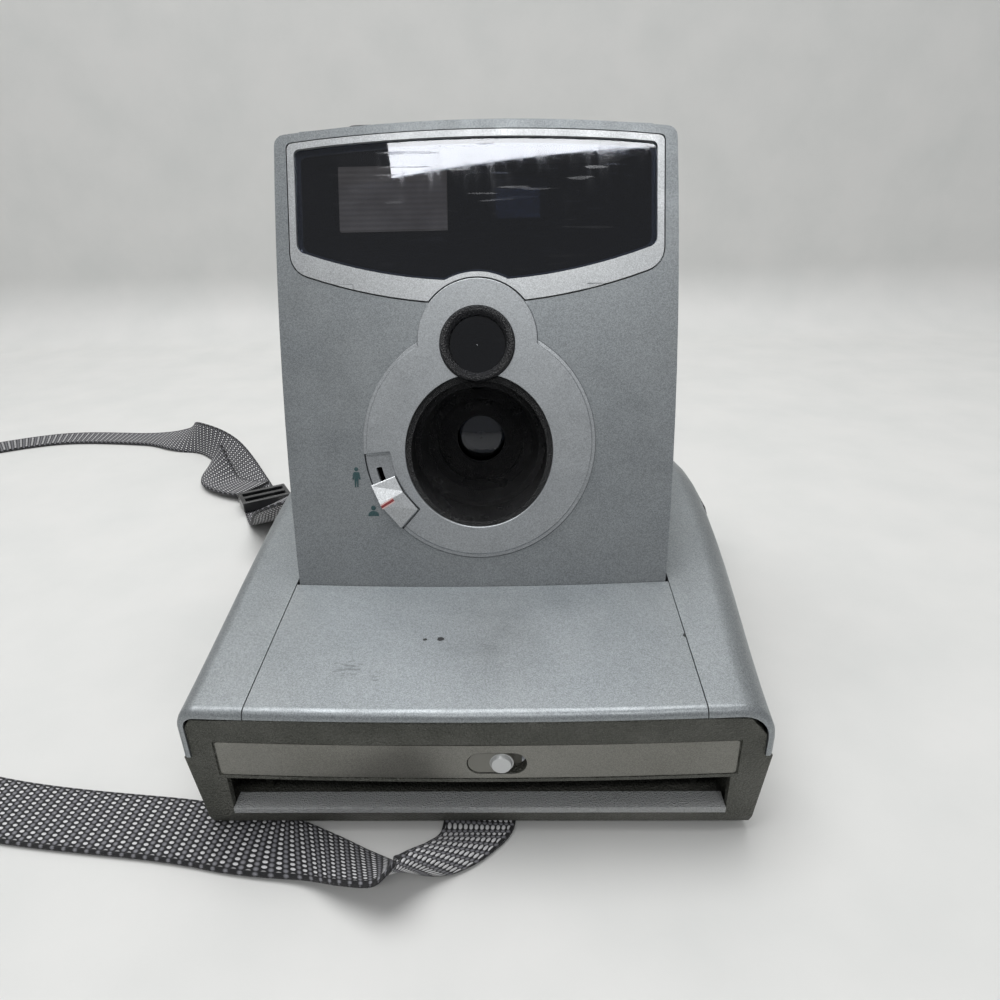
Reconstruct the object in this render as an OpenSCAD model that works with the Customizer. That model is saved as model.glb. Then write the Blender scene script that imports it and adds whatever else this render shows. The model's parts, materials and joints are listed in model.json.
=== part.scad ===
// Rigid-bodied instant camera for wide integral film, with its neck strap.
// Millimetres. X is to the right as the lens looks at you, the front faces -Y, Z is up, and the
// origin lies under the middle of the body, on the surface that its feet stand on.

/* [Body] */
// Width of the nose across its two skirts
body_w = 146; // [144:1:176]
// Depth from the lip to the back of the base
body_d = 182; // [180:1:220]
// Height of the deck's front edge above the table
front_h = 41; // [40:1:50]
// Depth of the deck, from the lip to the foot of the tower
deck_d = 51.7; // [50:0.1:62]
// Slope of the deck, rising to the back
deck_rise = 4; // [0:0.5:6]
// How far the lip bows forward in the middle
nose_bow = 2; // [0.5:0.5:4]
// Height of the skirts that hang beside the film door
skirt_h = 15; // [12:0.5:16]
// How far the hand-grip side swells out
grip_bulge = 5.5; // [1:0.5:9]
// How far the plain side swells out
plain_bulge = 2.5; // [0:0.5:6]
// Wall of the silver shells
shell_t = 2.4; // [1.8:0.1:3]

/* [Tower] */
// Length of the tower's face along its slope
tower_h = 134.5; // [134:0.5:162]
// Width of the tower at its foot
tower_w = 110; // [108:1:112]
// How far the tower leans back
tower_lean = 21; // [18:0.5:23]
// Thickness of the head that holds the flash and the viewfinder
head_t = 44; // [42:0.5:50]
// Thickness of the front panel
panel_t = 3; // [2:0.1:3.4]

/* [Lens] */
// Radius of the large lens ring
ring_r = 34.2; // [33:0.1:36]
// Radius of the black lens mouth
mouth_r = 21.6; // [20:0.1:23]
// Radius of the light sensor's bezel
sensor_r = 10.8; // [9:0.1:12]
// How far the lens axis points up
lens_rise = 6; // [3:0.5:8]
// Swing of the close-up lever
lever_swing = 15; // [8:0.5:15]

/* [Window] */
// Half the width of the dark window
window_half = 52.4; // [48:0.1:53]
// Width of the bezel's side border
bezel_border = 2; // [1.5:0.1:2.4]

/* [Film] */
// Width of the film bay
bay_w = 118; // [114:1:119]
// Width of the picture exit slot
slot_w = 127; // [110:1:128]
// Height of the picture exit slot
slot_h = 10; // [8:0.5:10]
// Radius of the lower spread roller
roller_r = 5; // [4.5:0.1:5]
// Module of the drive gears' teeth
gear_module = 0.8; // [0.7:0.05:0.8]

/* [Strap] */
// Width of the webbing
strap_w = 19; // [16:0.5:22]
// Thickness of the webbing
strap_t = 1.4; // [1:0.1:1.6]

/* [Hidden] */

$fn = 64;
eps = 0.01;
gap = 0.1;                 // assembly clearance between moulded pieces
fine_gap = 0.05;           // radial running clearance of shafts and pins

// Colours
silver = "#a3a8ab";
bright = "#b4b8ba";
door_grey = "#4a4b48";
black = "#15161a";
steel = "#b9bcbf";
gear_white = "#e6e3d8";

// Body, seen from the nose: y = 0 is the front of the lip
half_w = body_w / 2;
lip_r = 2.3;               // where the deck rolls over into the lip
seam_x = tower_w / 2 + 1;  // seam between the deck and each side shell
seam_gap = 0.2;
foot_h = 2.2;              // the rubber feet
floor_t = 2.2;
floor_z = foot_h + floor_t;
parting_z = front_h - skirt_h;
foot_y = deck_d;
foot_z = front_h + (deck_d - lip_r) * tan(deck_rise);
face_wide_s = 95;          // where the tower's face is widest, along its slope
face_swell = 3.7;          // how much wider it is there on each side than at its foot
face_sag = 1.9;            // how far the face falls back at its edges
crown = 2.6;               // how far its top edge falls at the corners
face_half_max = tower_w / 2 + face_swell;
face_r = face_half_max * face_half_max / (2 * face_sag);
rim_n = -panel_t - face_sag - 0.1;   // back of the front panel's rim

// Tower profile
function face_y(z) = foot_y + (z - foot_z) * tan(tower_lean);
function face_half(s) = face_half_max - face_swell * pow((s - face_wide_s) / face_wide_s, 2);
function face_s(z) = (z - foot_z) / cos(tower_lean);
top_z = foot_z + tower_h * cos(tower_lean);

// Lens, in the plane of the face
mouth_s = 40.4;            // heights of the centres above the foot, along the slope
ring_s = 42.8;
lobe_s = 72.5;
lobe_r = 17.5;
sensor_s = 71.2;
ring_back = -2.2;
ring_front = 0.9;
slot_inner_r = 26.3;       // the close-up lever's slot, about the ring
slot_floor = -1.2;
slot_low_a = 228;
lever_a = 26;              // how much of the slot the lever fills
slot_high_a = slot_low_a - lever_swing - lever_a - 1.6;
lens_r = 8.2;
housing_r = 30;
housing_e = 13;            // distances behind the face, along the lens axis
arm_e = 20.6;
plate_e = 26.5;
blade_e = 29;
cone_e = 32.7;
glint = 0.35;              // bevel of the glass edges

// Film path
nip_z = 15.5;
upper_roller_r = 4;
roller_y = 19;
roller_half = 56;
lower_z = nip_z - roller_r - 0.1;
upper_z = nip_z + upper_roller_r + 0.1;
shaft_r = 1.5;
pin_r = 1.2;
bay_h = 19;
bay_top = floor_z + bay_h + 0.2;
bay_rear = body_d - 10;
bay_wall = 2;
film_y = bay_rear - 42;    // middle of the picture area
mirror_z = 75.5;
mirror_slope = 48;
mirror_up = 20;            // the mirror's reach up and down its slope
mirror_down = 45;
mirror_top_half = 18;
mirror_low_half = 41.5;

// Door
door_back = 27.4;
base_front = door_back + 0.6;
door_top = front_h - shell_t - 1;
cavity_right = 64.5;
cavity_left = -67.8;
hinge_y = 24.6;
hinge_z = foot_h + 2.6;
knuckle_r = 2.5;
lug_x = [bay_w / 2 + 0.1, bay_w / 2 + 2.7];
slot_top = 19;
slot_low = slot_top - slot_h;
latch_x = 5.3;
latch_z = 24.8;
latch_slot = [14.8, 6.6];
latch_travel = 3;

// Gears, all in one plane in the plain side's pod
gear_x = -67.4;
gear_t = 2.8;
roller_teeth = 14;
idler_teeth = 20;
pinion_teeth = 12;
mesh_gap = 0.12;           // added to each centre distance
function pitch_r(n) = gear_module * n / 2;
near_d = pitch_r(roller_teeth) + pitch_r(idler_teeth) + mesh_gap;
idler_d = 2 * pitch_r(idler_teeth) + mesh_gap;
far_d = pitch_r(idler_teeth) + pitch_r(pinion_teeth) + mesh_gap;
low_idler_z = floor_z + pitch_r(idler_teeth) + 1.6;
low_idler_y = roller_y + sqrt(near_d * near_d - pow(low_idler_z - lower_z, 2));
high_idler_y = low_idler_y + 5.3;
high_idler_z = low_idler_z + sqrt(idler_d * idler_d - 5.3 * 5.3);
pinion_z = high_idler_z + 5.6;
pinion_y = high_idler_y + sqrt(far_d * far_d - 5.6 * 5.6);
near_a = atan2(low_idler_z - lower_z, low_idler_y - roller_y);
idler_a = atan2(high_idler_z - low_idler_z, high_idler_y - low_idler_y);
far_a = atan2(pinion_z - high_idler_z, pinion_y - high_idler_y);
// Turns the next gear so that its gap meets the tooth of the last one
function mesh_phase(phase, a, n, m) = a + 180 + 180 / m - (phase - a) * n / m;
low_phase = mesh_phase(near_a, near_a, roller_teeth, idler_teeth);
high_phase = mesh_phase(low_phase, idler_a, idler_teeth, idler_teeth);
pinion_phase = mesh_phase(high_phase, far_a, idler_teeth, pinion_teeth);
motor_r = 6.5;

// Shutter button, on the top at the plain side
button_x = -36;
button_y = 131;
button_r = 6.4;
button_floor = top_z - 15;
button_top = top_z + 0.3;
button_travel = 1.5;

// Strap lugs, on both sides near the back
lug_y = 151;
lug_z = 30.2;
lug_half = 12.2;
lug_out = 6;
bar_r = 1.1;

// How far a side swells beyond the skirts, and its line round the back corner, for a skin at a depth
widest_y = 105;
corner_r = 16;
corner_y = body_d - corner_r;
function swell(bulge, y) = y < widest_y
    ? bulge * pow(sin(90 * max(y, 0) / widest_y), 1.6)
    : bulge * cos(90 * (y - widest_y) / (body_d + 8 - widest_y));
function corner_cut(y, skin) = y <= corner_y ? skin
    : corner_r - sqrt(max(pow(corner_r - skin, 2) - pow(y - corner_y, 2), 0));
function side_x(bulge, y, skin = 0) = half_w + swell(bulge, y) - corner_cut(y, skin);
function reach(bulge) = max(bulge, swell(bulge, lug_y) + lug_out);
mid_x = (reach(grip_bulge) - reach(plain_bulge)) / 2;

module placed() translate([-mid_x, -body_d / 2, 0]) children();
module face_frame() translate([0, foot_y, foot_z]) rotate([90 - tower_lean, 0, 0]) children();
module lens_frame() {
    translate([0, foot_y + mouth_s * sin(tower_lean), foot_z + mouth_s * cos(tower_lean)])
        rotate([90 - lens_rise, 0, 0]) children();
}
module mirror_frame() translate([0, film_y, mirror_z]) rotate([-mirror_slope, 0, 0]) children();
// Lays a piece drawn in x and y so that x runs along Y, y along Z and its height along X
module along_x() rotate([90, 0, 90]) children();

// A solid through closed rings of points. Each end is closed in strips from one half of its ring to the other
module loft(rings) {
    n = len(rings[0]);
    last = (len(rings) - 1) * n;
    polyhedron(
        points = [for (ring = rings) each ring],
        faces = [
            for (i = [0:n / 2 - 2], e = [0, last])
                let (a = e + i, b = e + i + 1, c = e + n - 2 - i, d = e + n - 1 - i)
                each (e == 0 ? (b == c ? [[a, b, d]] : [[a, b, c], [a, c, d]])
                    : (b == c ? [[b, a, d]] : [[b, a, c], [c, a, d]])),
            for (k = [0:len(rings) - 2], i = [0:n - 1])
                let (a = k * n + i, b = k * n + (i + 1) % n)
                each [[b, a, a + n], [b, a + n, b + n]]
        ]
    );
}

// A closed outline from its right half, which starts and ends on the middle line
function both_halves(half) = concat(half, [for (i = [len(half) - 2:-1:1]) [-half[i][0], half[i][1]]]);
function arc(c, r, a0, a1, n) = [for (i = [0:n]) let (a = a0 + (a1 - a0) * i / n) c + r * [cos(a), sin(a)]];
function sector(r0, r1, a0, a1, n = 10) = concat(arc([0, 0], r1, a0, a1, n), arc([0, 0], r0, a1, a0, n));
function sag(x) = face_r - sqrt(face_r * face_r - x * x);
function bow(x) = nose_bow * pow(x / half_w, 2);

function face_top(x) = tower_h - crown * pow(x / face_half_max, 2);
function tower_outline(inset, low, r) =
    let (cs = face_top(face_half_max) - inset - r, cx = face_half(cs) - inset - r)
        both_halves(concat(
            [[0, low]],
            [for (i = [0:9]) let (s = low + (cs - low) * i / 10) [face_half(s) - inset, s]],
            arc([cx, face_top(cx) - inset - r], r, 0, 90, 4),
            [for (i = [1:6]) let (x = cx * (1 - i / 6)) [x, face_top(x) - inset]]
        ));

// Outline of the window and its bezel: half width, lowest and highest points, and lower corners
arc_k = 281;
function window_outline(h, s0, s1, drop, r) =
    let (cx = h - r, phi = atan(2 * cx / arc_k), tx = cx + r * sin(phi), cs = s0 + tx * tx / arc_k + r * cos(phi))
        both_halves(concat(
            [for (i = [0:9]) let (x = tx * i / 10) [x, s0 + x * x / arc_k]],
            arc([cx, cs], r, phi - 90, 0, 6),
            arc([h - 1.5, s1 - drop - 1.5], 1.5, 0, 90, 3),
            [for (i = [1:6]) let (x = (h - 1.5) * (1 - i / 6)) [x, s1 - drop * pow(x / h, 2)]]
        ));
module glass_shape(inset = 0) difference() {
    polygon(window_outline(window_half - inset, lobe_s + 16.8 + inset, tower_h - 4.8 - inset, 1.9, 3));
    translate([0, lobe_s]) circle(r = lobe_r + 1.9 + inset);
}
module bezel_shape(grow = 0) polygon(window_outline(
    window_half + bezel_border + grow, lobe_s + 10.5 - grow, tower_h - 2.9 + grow, 2.1, 7 + grow));

module face_cylinder(front) translate([0, -30, -face_r]) rotate([-90, 0, 0]) cylinder(
    h = tower_h + 60, r = face_r + front, $fn = 720);
module face_slab(back, front) difference() {
    intersection() {
        translate([0, 0, back - 3]) linear_extrude(front - back + 6) children();
        face_cylinder(front);
    }
    face_cylinder(back);
}
module ring_slot(a0, a1, r0, r1) translate([0, ring_s]) polygon(sector(r0, r1, a0, a1));

module front_panel() color(silver) placed() difference() {
    face_frame() intersection() {
        translate([0, 0, rim_n]) linear_extrude(8) polygon(tower_outline(0, -2.5, 3));
        face_cylinder(0);
    }
    face_frame() intersection() {
        translate([0, 0, rim_n - 1]) linear_extrude(8) polygon(tower_outline(2.2, -9, 2));
        face_cylinder(-panel_t);
    }
    face_frame() {
        face_slab(ring_back - gap, 2) bezel_shape(0.4);
        translate([0, 0, -9]) linear_extrude(12) glass_shape(1.2);
        translate([0, ring_s, ring_back - gap]) cylinder(h = 5, r = ring_r + 0.15, $fn = 180);
        translate([0, lobe_s, ring_back - gap]) cylinder(h = 5, r = lobe_r + 0.15, $fn = 120);
        translate([0, sensor_s, -9]) cylinder(h = 12, r = sensor_r + gap, $fn = 96);
        translate([0, 0, -9]) linear_extrude(12) ring_slot(slot_high_a + 8, slot_low_a - 8, 30, 31.6);
    }
    lens_frame() translate([0, 0, -20]) cylinder(h = 30, r = mouth_r + 0.4, $fn = 128);
}

module lens_ring() color(bright) placed() difference() {
    face_frame() {
        translate([0, ring_s, ring_back]) cylinder(h = ring_front - 0.45 - ring_back, r = ring_r, $fn = 180);
        translate([0, ring_s, ring_back]) cylinder(h = ring_front - ring_back, r = ring_r - 1.1, $fn = 180);
        translate([0, lobe_s, ring_back]) cylinder(h = ring_front - ring_back, r = lobe_r, $fn = 120);
    }
    face_frame() {
        translate([0, sensor_s, -9]) cylinder(h = 12, r = sensor_r + gap, $fn = 96);
        translate([0, 0, slot_floor]) linear_extrude(5)
            ring_slot(slot_high_a, slot_low_a, slot_inner_r, ring_r + 2);
        translate([0, 0, -9]) linear_extrude(12)
            ring_slot(slot_high_a + 8, slot_low_a - 8, 30, 31.6);
    }
    lens_frame() translate([0, 0, -20]) cylinder(h = 30, r = mouth_r + gap, $fn = 128);
}

// Drawn in the lens frame and trimmed to the plane of the face
module below_face(n) placed() face_frame() translate([-60, -60, n - 80]) cube([120, 260, 80]);

module lens_funnel() color(black) difference() {
    intersection() {
        placed() lens_frame() rotate_extrude($fn = 128) polygon([
            [mouth_r, 12], [mouth_r, -6.2], [mouth_r - 0.4, -6.2], [mouth_r - 0.4, -8.4], [19.4, -8.4],
            [19.4, -housing_e + 0.1], [13.2, -housing_e + 0.1], [13.2, -11.2], [16.2, -11.2], [17.2, -7.6],
            [17.8, -5.4], [19.6, -5.4], [20.7, 12]
        ]);
        below_face(ring_front - 0.4);
    }
    placed() face_frame() translate([0, sensor_s, -9]) cylinder(h = 20, r = sensor_r + gap, $fn = 96);
    placed() face_frame() translate([0, sensor_s, -9]) cylinder(h = 9 + rim_n + 2.2, r = 12.5, $fn = 96);
}

module lens_barrel() color(black) placed() lens_frame() rotate_extrude($fn = 128) polygon([
    [7.4, -housing_e], [housing_r, -housing_e], [housing_r, -plate_e + fine_gap], [housing_r - 2, -plate_e + fine_gap],
    [housing_r - 2, -housing_e - 2], [12, -housing_e - 2], [12, -arm_e + 0.6], [lens_r + fine_gap, -arm_e + 0.6],
    [lens_r + fine_gap, -housing_e - 1.6], [7.4, -housing_e - 1.6]
]);

// A round element with one domed side, its rim at height 0
function element(r, t, dome) = concat(
    [[0, -t], [r - glint, -t], [r, -t + glint], [r, 0]],
    [for (i = [1:8]) let (x = r * (1 - i / 8)) [x, dome * (1 - pow(x / r, 2))]]
);
module front_element() color("#2a2d38") placed() lens_frame() translate([0, 0, -housing_e - 1.7 - 1.2])
    rotate_extrude($fn = 96) polygon(element(lens_r, 2.6, 1.1));
module rear_element() color("#2a2d38") placed() lens_frame() translate([0, 0, -plate_e + 0.75])
    rotate_extrude($fn = 96) polygon(element(6.5, 2.2, 0.8));

module sensor_ring() color(black) placed() face_frame() translate([0, sensor_s, 0]) rotate_extrude($fn = 96)
    polygon([
        [sensor_r - 2.2, 1.1], [sensor_r - 1.3, 1.9], [sensor_r - 0.4, 1.9], [sensor_r, 1.5], [sensor_r, -panel_t - 0.1],
        [12.2, -panel_t - 0.1], [12.2, -panel_t - 1.5], [6.4, -panel_t - 1.5], [6.4, -1.4], [sensor_r - 2.5, -1.4],
        [sensor_r - 2.5, 0.4]
    ]);
module sensor_lens() color("#241c24") placed() face_frame() translate([0, sensor_s, -0.2])
    rotate_extrude($fn = 96) polygon(element(sensor_r - 2.55, 1.15, 0.4));

module closeup_lever() color(bright) placed() face_frame() translate([0, ring_s, 0]) {
    r0 = slot_inner_r + 0.5;
    r1 = ring_r;
    low = slot_floor + gap;
    a1 = slot_low_a - 0.8;
    loft([for (p = [[1, 1.3, 1.5], [0.98, 1.5, 1.7], [0.44, 1.9, 3], [0.4, 1.7, 3], [0.02, 1.1, 1.5], [0, 0.9, 1.3]])
        let (a = a1 - lever_a * (1 - p[0]), u = [cos(a), sin(a)])
            [[r0 * u[0], r0 * u[1], low], [r1 * u[0], r1 * u[1], low],
             [r1 * u[0], r1 * u[1], p[2]], [r0 * u[0], r0 * u[1], p[1]]]]);
    translate([0, 0, -6]) linear_extrude(6 + low + 1) polygon(sector(30.3, 31.3, a1 - 17, a1 - 9));
    translate([0, 0, -6]) linear_extrude(1.4) polygon(sector(28.5, 33, a1 - 17, a1 - 9));
}

arm_pivot = [-15, 0];
arm_park = 80;
module arm_frame() lens_frame() translate([arm_pivot[0], arm_pivot[1], 0]) children();
module closeup_arm() color(black) placed() arm_frame() translate([0, 0, -arm_e - 2.6]) difference() {
    union() {
        rotate([0, 0, -arm_park]) {
            translate([0, -2, 0]) cube([15, 4, 2.6]);
            translate([15, 0, 0]) cylinder(h = 2.6, r = 7.6, $fn = 64);
        }
        cylinder(h = 2.6, r = 3.4, $fn = 48);
    }
    rotate([0, 0, -arm_park]) translate([15, 0, 0.6]) cylinder(h = 3, r = 6.5 + fine_gap, $fn = 64);
    rotate([0, 0, -arm_park]) translate([15, 0, -1]) cylinder(h = 3, r = 5.8, $fn = 64);
    translate([0, 0, -1]) cylinder(h = 5, r = pin_r + fine_gap, $fn = 32);
}
module closeup_lens() color("#3a3d48") placed() arm_frame() rotate([0, 0, -arm_park])
    translate([15, 0, -arm_e - 1.0]) rotate_extrude($fn = 64) polygon(element(6.5, 1.0, 0.6));

blade_pivot = [0, -20];
module shutter_plate() color("#2b2c2e") placed() lens_frame() difference() {
    union() {
        translate([0, 0, -plate_e - 1.6]) cylinder(h = 1.6, r = housing_r - 0.1, $fn = 128);
        translate([0, 0, -cone_e + gap]) difference() {
            cylinder(h = cone_e - gap - plate_e, r = housing_r - 0.1, $fn = 128);
            translate([0, 0, -1]) cylinder(h = 9, r = housing_r - 2, $fn = 128);
        }
        translate([0, 0, -plate_e]) cylinder(h = 1.8, r = 8.6, $fn = 64);
        translate([blade_pivot[0], blade_pivot[1], -cone_e + 0.4]) cylinder(h = 5, r = pin_r, $fn = 32);
        translate([arm_pivot[0], arm_pivot[1], -plate_e - 1]) cylinder(h = plate_e + 1 - arm_e + 0.4, r = pin_r, $fn = 32);
        translate([arm_pivot[0], arm_pivot[1], -plate_e - 1]) cylinder(h = plate_e + 1 - arm_e - 2.7, r = 3, $fn = 32);
    }
    translate([0, 0, -plate_e - 1.5]) cylinder(h = 5, r = 6.5 + fine_gap, $fn = 64);
    translate([0, 0, -plate_e - 3]) cylinder(h = 5, r = 5.6, $fn = 64);
}
module blade(side, e) placed() lens_frame() translate([0, 0, -e - 0.6]) difference() {
    union() {
        translate([side * 3.6, 0, 0]) cylinder(h = 0.6, r = 6.6, $fn = 64);
        translate([blade_pivot[0], blade_pivot[1], 0]) {
            cylinder(h = 0.6, r = 3, $fn = 48);
            rotate([0, 0, -side * 9]) translate([-1.6, 0, 0]) cube([3.2, 16, 0.6]);
        }
    }
    translate([blade_pivot[0], blade_pivot[1], -1]) cylinder(h = 3, r = pin_r + fine_gap, $fn = 32);
}
module upper_blade() color(steel) blade(-1, blade_e);
module lower_blade() color(steel) blade(1, blade_e + 0.9);

module window_bezel() color(bright) placed() face_frame() difference() {
    face_slab(ring_back, 0.3) difference() {
        bezel_shape();
        glass_shape();
    }
    translate([0, lobe_s, -9]) cylinder(h = 12, r = lobe_r + 0.5, $fn = 120);
    for (x = [-38.5, 34.5])
        translate([x - 2.4, lobe_s + 10.5 + x * x / arc_k - 1, -0.7]) cube([4.8, 1.9, 3]);
}
module window_pane() color([0.1, 0.12, 0.16, 0.5]) placed() face_frame()
    face_slab(ring_back, ring_back + 1.5) glass_shape(gap);

// Dark tray behind the window, tapering to the wall that holds the flash and the finder
tray_n = rim_n + 0.05;
tray_back = -17;
tray_low = tower_h - 26.5;
tray_high = tower_h - 6.5;
flash_mid = tower_h - 16.2;
flash_x = [-43, -9.5];
flash_half = 9.7;
finder_x = 12.5;
finder_s = tower_h - 16.5;
module tray_hollow(t) hull() {
    translate([0, 0, tray_n - 1.5]) linear_extrude(0.1)
        polygon(window_outline(window_half - 1 + t, lobe_s + 19 - t, tower_h - 5.6 + t, 1.9, 3));
    translate([-45 - t, tray_low - t, tray_back]) cube([87 + 2 * t, tray_high - tray_low + 2 * t, 0.1]);
}
module window_tray() color(black) placed() face_frame() difference() {
    union() {
        translate([0, 0, tray_n - 1.5]) linear_extrude(1.5) difference() {
            polygon(window_outline(window_half + 2.6, lobe_s + 14.4, tower_h - 3.4, 2.1, 5));
            polygon(window_outline(window_half - 1, lobe_s + 19, tower_h - 5.6, 1.9, 3));
        }
        difference() {
            tray_hollow(1.4);
            tray_hollow(0);
        }
        translate([-46.4, tray_low - 1.4, tray_back - 1.4])
            cube([89.8, tray_high - tray_low + 2.8, 1.4 + eps]);
    }
    translate([flash_x[0] + 1.6, flash_mid - flash_half + 1.6, tray_back - 3])
        cube([flash_x[1] - flash_x[0] - 3.2, 2 * flash_half - 3.2, 6]);
    translate([finder_x - 8, finder_s - 6, tray_back - 3]) cube([16, 12, 6]);
}
module flash_lens() color("#7b7670") placed() face_frame()
    translate([flash_x[0], flash_mid - flash_half, tray_back + fine_gap])
        cube([flash_x[1] - flash_x[0], 2 * flash_half, 1.6]);

board_n = -34;
reflector_front = tray_back - 1.5;
reflector_depth = reflector_front - board_n - 0.3;
function trough(grow) = [for (i = [-8:8]) let (h = 8.6 * i / 8) [
    h + sign(i) * grow, board_n + 0.3 + (reflector_depth - 1) * pow(h / 8.6, 2) + 1 - grow]];
module flash_reflector() color(steel) placed() face_frame() difference() {
    translate([flash_x[0] + 1, flash_mid, 0]) rotate([90, 0, 90]) {
        linear_extrude(flash_x[1] - flash_x[0] - 2) polygon(concat(trough(1), [for (i = [16:-1:0]) trough(0)[i]]));
        for (x = [0, flash_x[1] - flash_x[0] - 3]) translate([0, 0, x]) linear_extrude(1) polygon(trough(1));
    }
    translate([flash_x[0] - 9, flash_mid, board_n + 5]) rotate([0, 90, 0]) cylinder(h = 60, r = 2 + fine_gap, $fn = 32);
}
module flash_tube() color("#d8dadb") placed() face_frame()
    translate([flash_x[0] - 1.5, flash_mid, board_n + 5]) rotate([0, 90, 0])
        cylinder(h = flash_x[1] - flash_x[0] + 3, r = 2, $fn = 32);
module flash_capacitor() color("#20242c") placed() face_frame()
    translate([25, flash_mid - 2, board_n + 7.5 + gap]) rotate([0, 90, 0]) cylinder(h = 25, r = 7.5, $fn = 64);

dial_x = -22;
dial_s = flash_mid - 2;
module flash_board() color("#3c5a40") placed() face_frame() {
    difference() {
        translate([-50, flash_mid - 17, board_n - 1.6]) cube([100, 22.5, 1.6]);
        translate([finder_x - 11, flash_mid - 8, board_n - 3]) cube([22, 30, 6]);
    }
    translate([dial_x, dial_s, board_n - 6.8]) cylinder(h = 5.5, r = pin_r, $fn = 32);
    translate([dial_x, dial_s, board_n - 3.9]) cylinder(h = 2.5, r = 3, $fn = 32);
}
module counter_dial() color(gear_white) placed() face_frame() translate([dial_x, dial_s, board_n - 5.6]) difference() {
    cylinder(h = 1.6, r = 9, $fn = 96);
    translate([0, 0, -1]) cylinder(h = 4, r = pin_r + fine_gap, $fn = 32);
}

// The finder looks along the lens axis
module finder_frame() face_frame() translate([finder_x, finder_s, tray_back - 1.5])
    rotate([tower_lean - lens_rise, 0, 0]) children();
finder_len = 21;
module finder_objective() color("#2c3340") placed() face_frame()
    translate([finder_x - 9, finder_s - 7, tray_back + fine_gap]) cube([18, 14, 1.6]);
module finder_tunnel() color(black) placed() difference() {
    finder_frame() difference() {
        translate([-10, -8, -finder_len]) cube([20, 16, finder_len]);
        translate([-8.8, -6.8, -finder_len - 1]) cube([17.6, 13.6, finder_len + 2]);
    }
    face_frame() translate([-60, 0, tray_back - 1.45]) cube([120, 200, 20]);
}
module finder_frame_end() finder_frame() translate([0, 0, -finder_len]) children();
module eyepiece_lens() color("#39404c") placed() finder_frame_end() translate([-8.7, -6.7, 0.4]) cube([17.4, 13.4, 2]);

// Rear shell, as rings at heights, each set in by a skin
slope_y = body_d - 9.5;
slope_z = parting_z + 14;
neck_z = (slope_y + slope_z / tan(mirror_slope) - foot_y - head_t / cos(tower_lean) + foot_z * tan(tower_lean))
    / (1 / tan(mirror_slope) + tan(tower_lean));
function slope_line(z) = slope_y - (z - slope_z) / tan(mirror_slope);
function head_line(z) = face_y(z) + head_t / cos(tower_lean);
rear_line = [
    [parting_z, body_d - 1], [parting_z + 8, body_d - 4], [slope_z, slope_y], [foot_z + 4, slope_line(foot_z + 4)],
    [neck_z - 4, slope_line(neck_z - 4)], [neck_z + 4, head_line(neck_z + 4)], [neck_z + 20, head_line(neck_z + 20)],
    [top_z - 20, head_line(top_z - 20)], [top_z - 10, head_line(top_z - 10) - 1], [top_z - 5, head_line(top_z - 5) - 4],
    [top_z - 2, head_line(top_z - 2) - 9.8], [top_z - 0.6, head_line(top_z) - 17.5], [top_z - 0.05, head_line(top_z) - 27]
];
function shell_half(z) = min(
    z < foot_z + 12 ? tower_w / 2 + 0.9 : max(tower_w / 2 + 0.9, face_half(face_s(z))),
    face_half_max * sqrt(max(top_z - z, 0.01) / crown));
function shell_ring(z, y, skin, low) =
    let (w = shell_half(z) - skin, yr = y - skin * 1.3, r = min(13 - skin, w - 4), f = face_y(z) + (skin > 0 ? -3 : 1),
        half = concat([[w, f], [w, (f + yr - r) / 2]], arc([w - r, yr - r - 0.9], r, 0, 84, 6), [[w / 3, yr - 0.1]]))
            [for (p = concat(half, [for (i = [len(half) - 1:-1:0]) [-half[i][0], half[i][1]]])) [p[0], p[1], low]];
module rear_loft(skin) loft([for (p = rear_line)
    let (drop = skin * max(0, (p[0] - neck_z) / (top_z - neck_z)))
        shell_ring(p[0], p[1], skin, p[0] - drop - (skin > 0 && p[0] == parting_z ? 1 : 0))]);
module rear_shell() color(silver) placed() difference() {
    union() {
        difference() {
            rear_loft(0);
            rear_loft(shell_t);
        }
        translate([button_x - 9, button_y - 9, button_floor - 2]) cube([18, 17.5, 2]);
    }
    face_frame() translate([-90, -90, rim_n - 0.1]) cube([180, 400, 90]);
    translate([-90, -50, 0]) cube([180, body_d - 24 + 50, foot_z - 1]);
    translate([button_x, button_y, button_floor]) cylinder(h = 10.1, r = 7.8, $fn = 64);
    translate([button_x, button_y, button_floor]) cylinder(h = 30, r = button_r + fine_gap, $fn = 96);
    finder_frame_end() translate([-9.4, -7.4, -20]) cube([18.8, 14.8, 30]);
    face_frame() translate([dial_x - 3, dial_s + 2, -80]) cube([6, 4, 42]);
}
module eyecup() color("#1b1b1d") placed() finder_frame_end() difference() {
    translate([-9.3, -7.3, -9]) cube([18.6, 14.6, 8.9]);
    translate([-7.6, -5.6, -12]) cube([15.2, 11.2, 20]);
}

module shutter_button() color(black) placed() translate([button_x, button_y, 0]) {
    rotate_extrude($fn = 96) polygon(concat(
        [[0, button_top - 6.5], [7.6, button_top - 6.5], [7.6, button_floor + 10], [button_r, button_floor + 10]],
        [[button_r, button_top - 0.8], [button_r - 0.3, button_top - 0.3], [button_r - 1, button_top], [0, button_top - 0.5]]));
    translate([0, 0, button_floor + 4]) cylinder(h = 5, r = 2, $fn = 48);
}
module button_spring() color(steel) placed() translate([button_x, button_y, button_floor + 0.6]) {
    turns = 4;
    length = button_top - 6.5 - button_floor - 1.2;
    loft([for (i = [0:turns * 14]) let (a = i * 360 / 14, z = length * i / (turns * 14))
        [for (k = [0:7]) let (b = k * 45, r = 4.4 + 0.5 * cos(b)) [r * cos(a), r * sin(a), z + 0.5 * sin(b)]]]);
}

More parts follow.
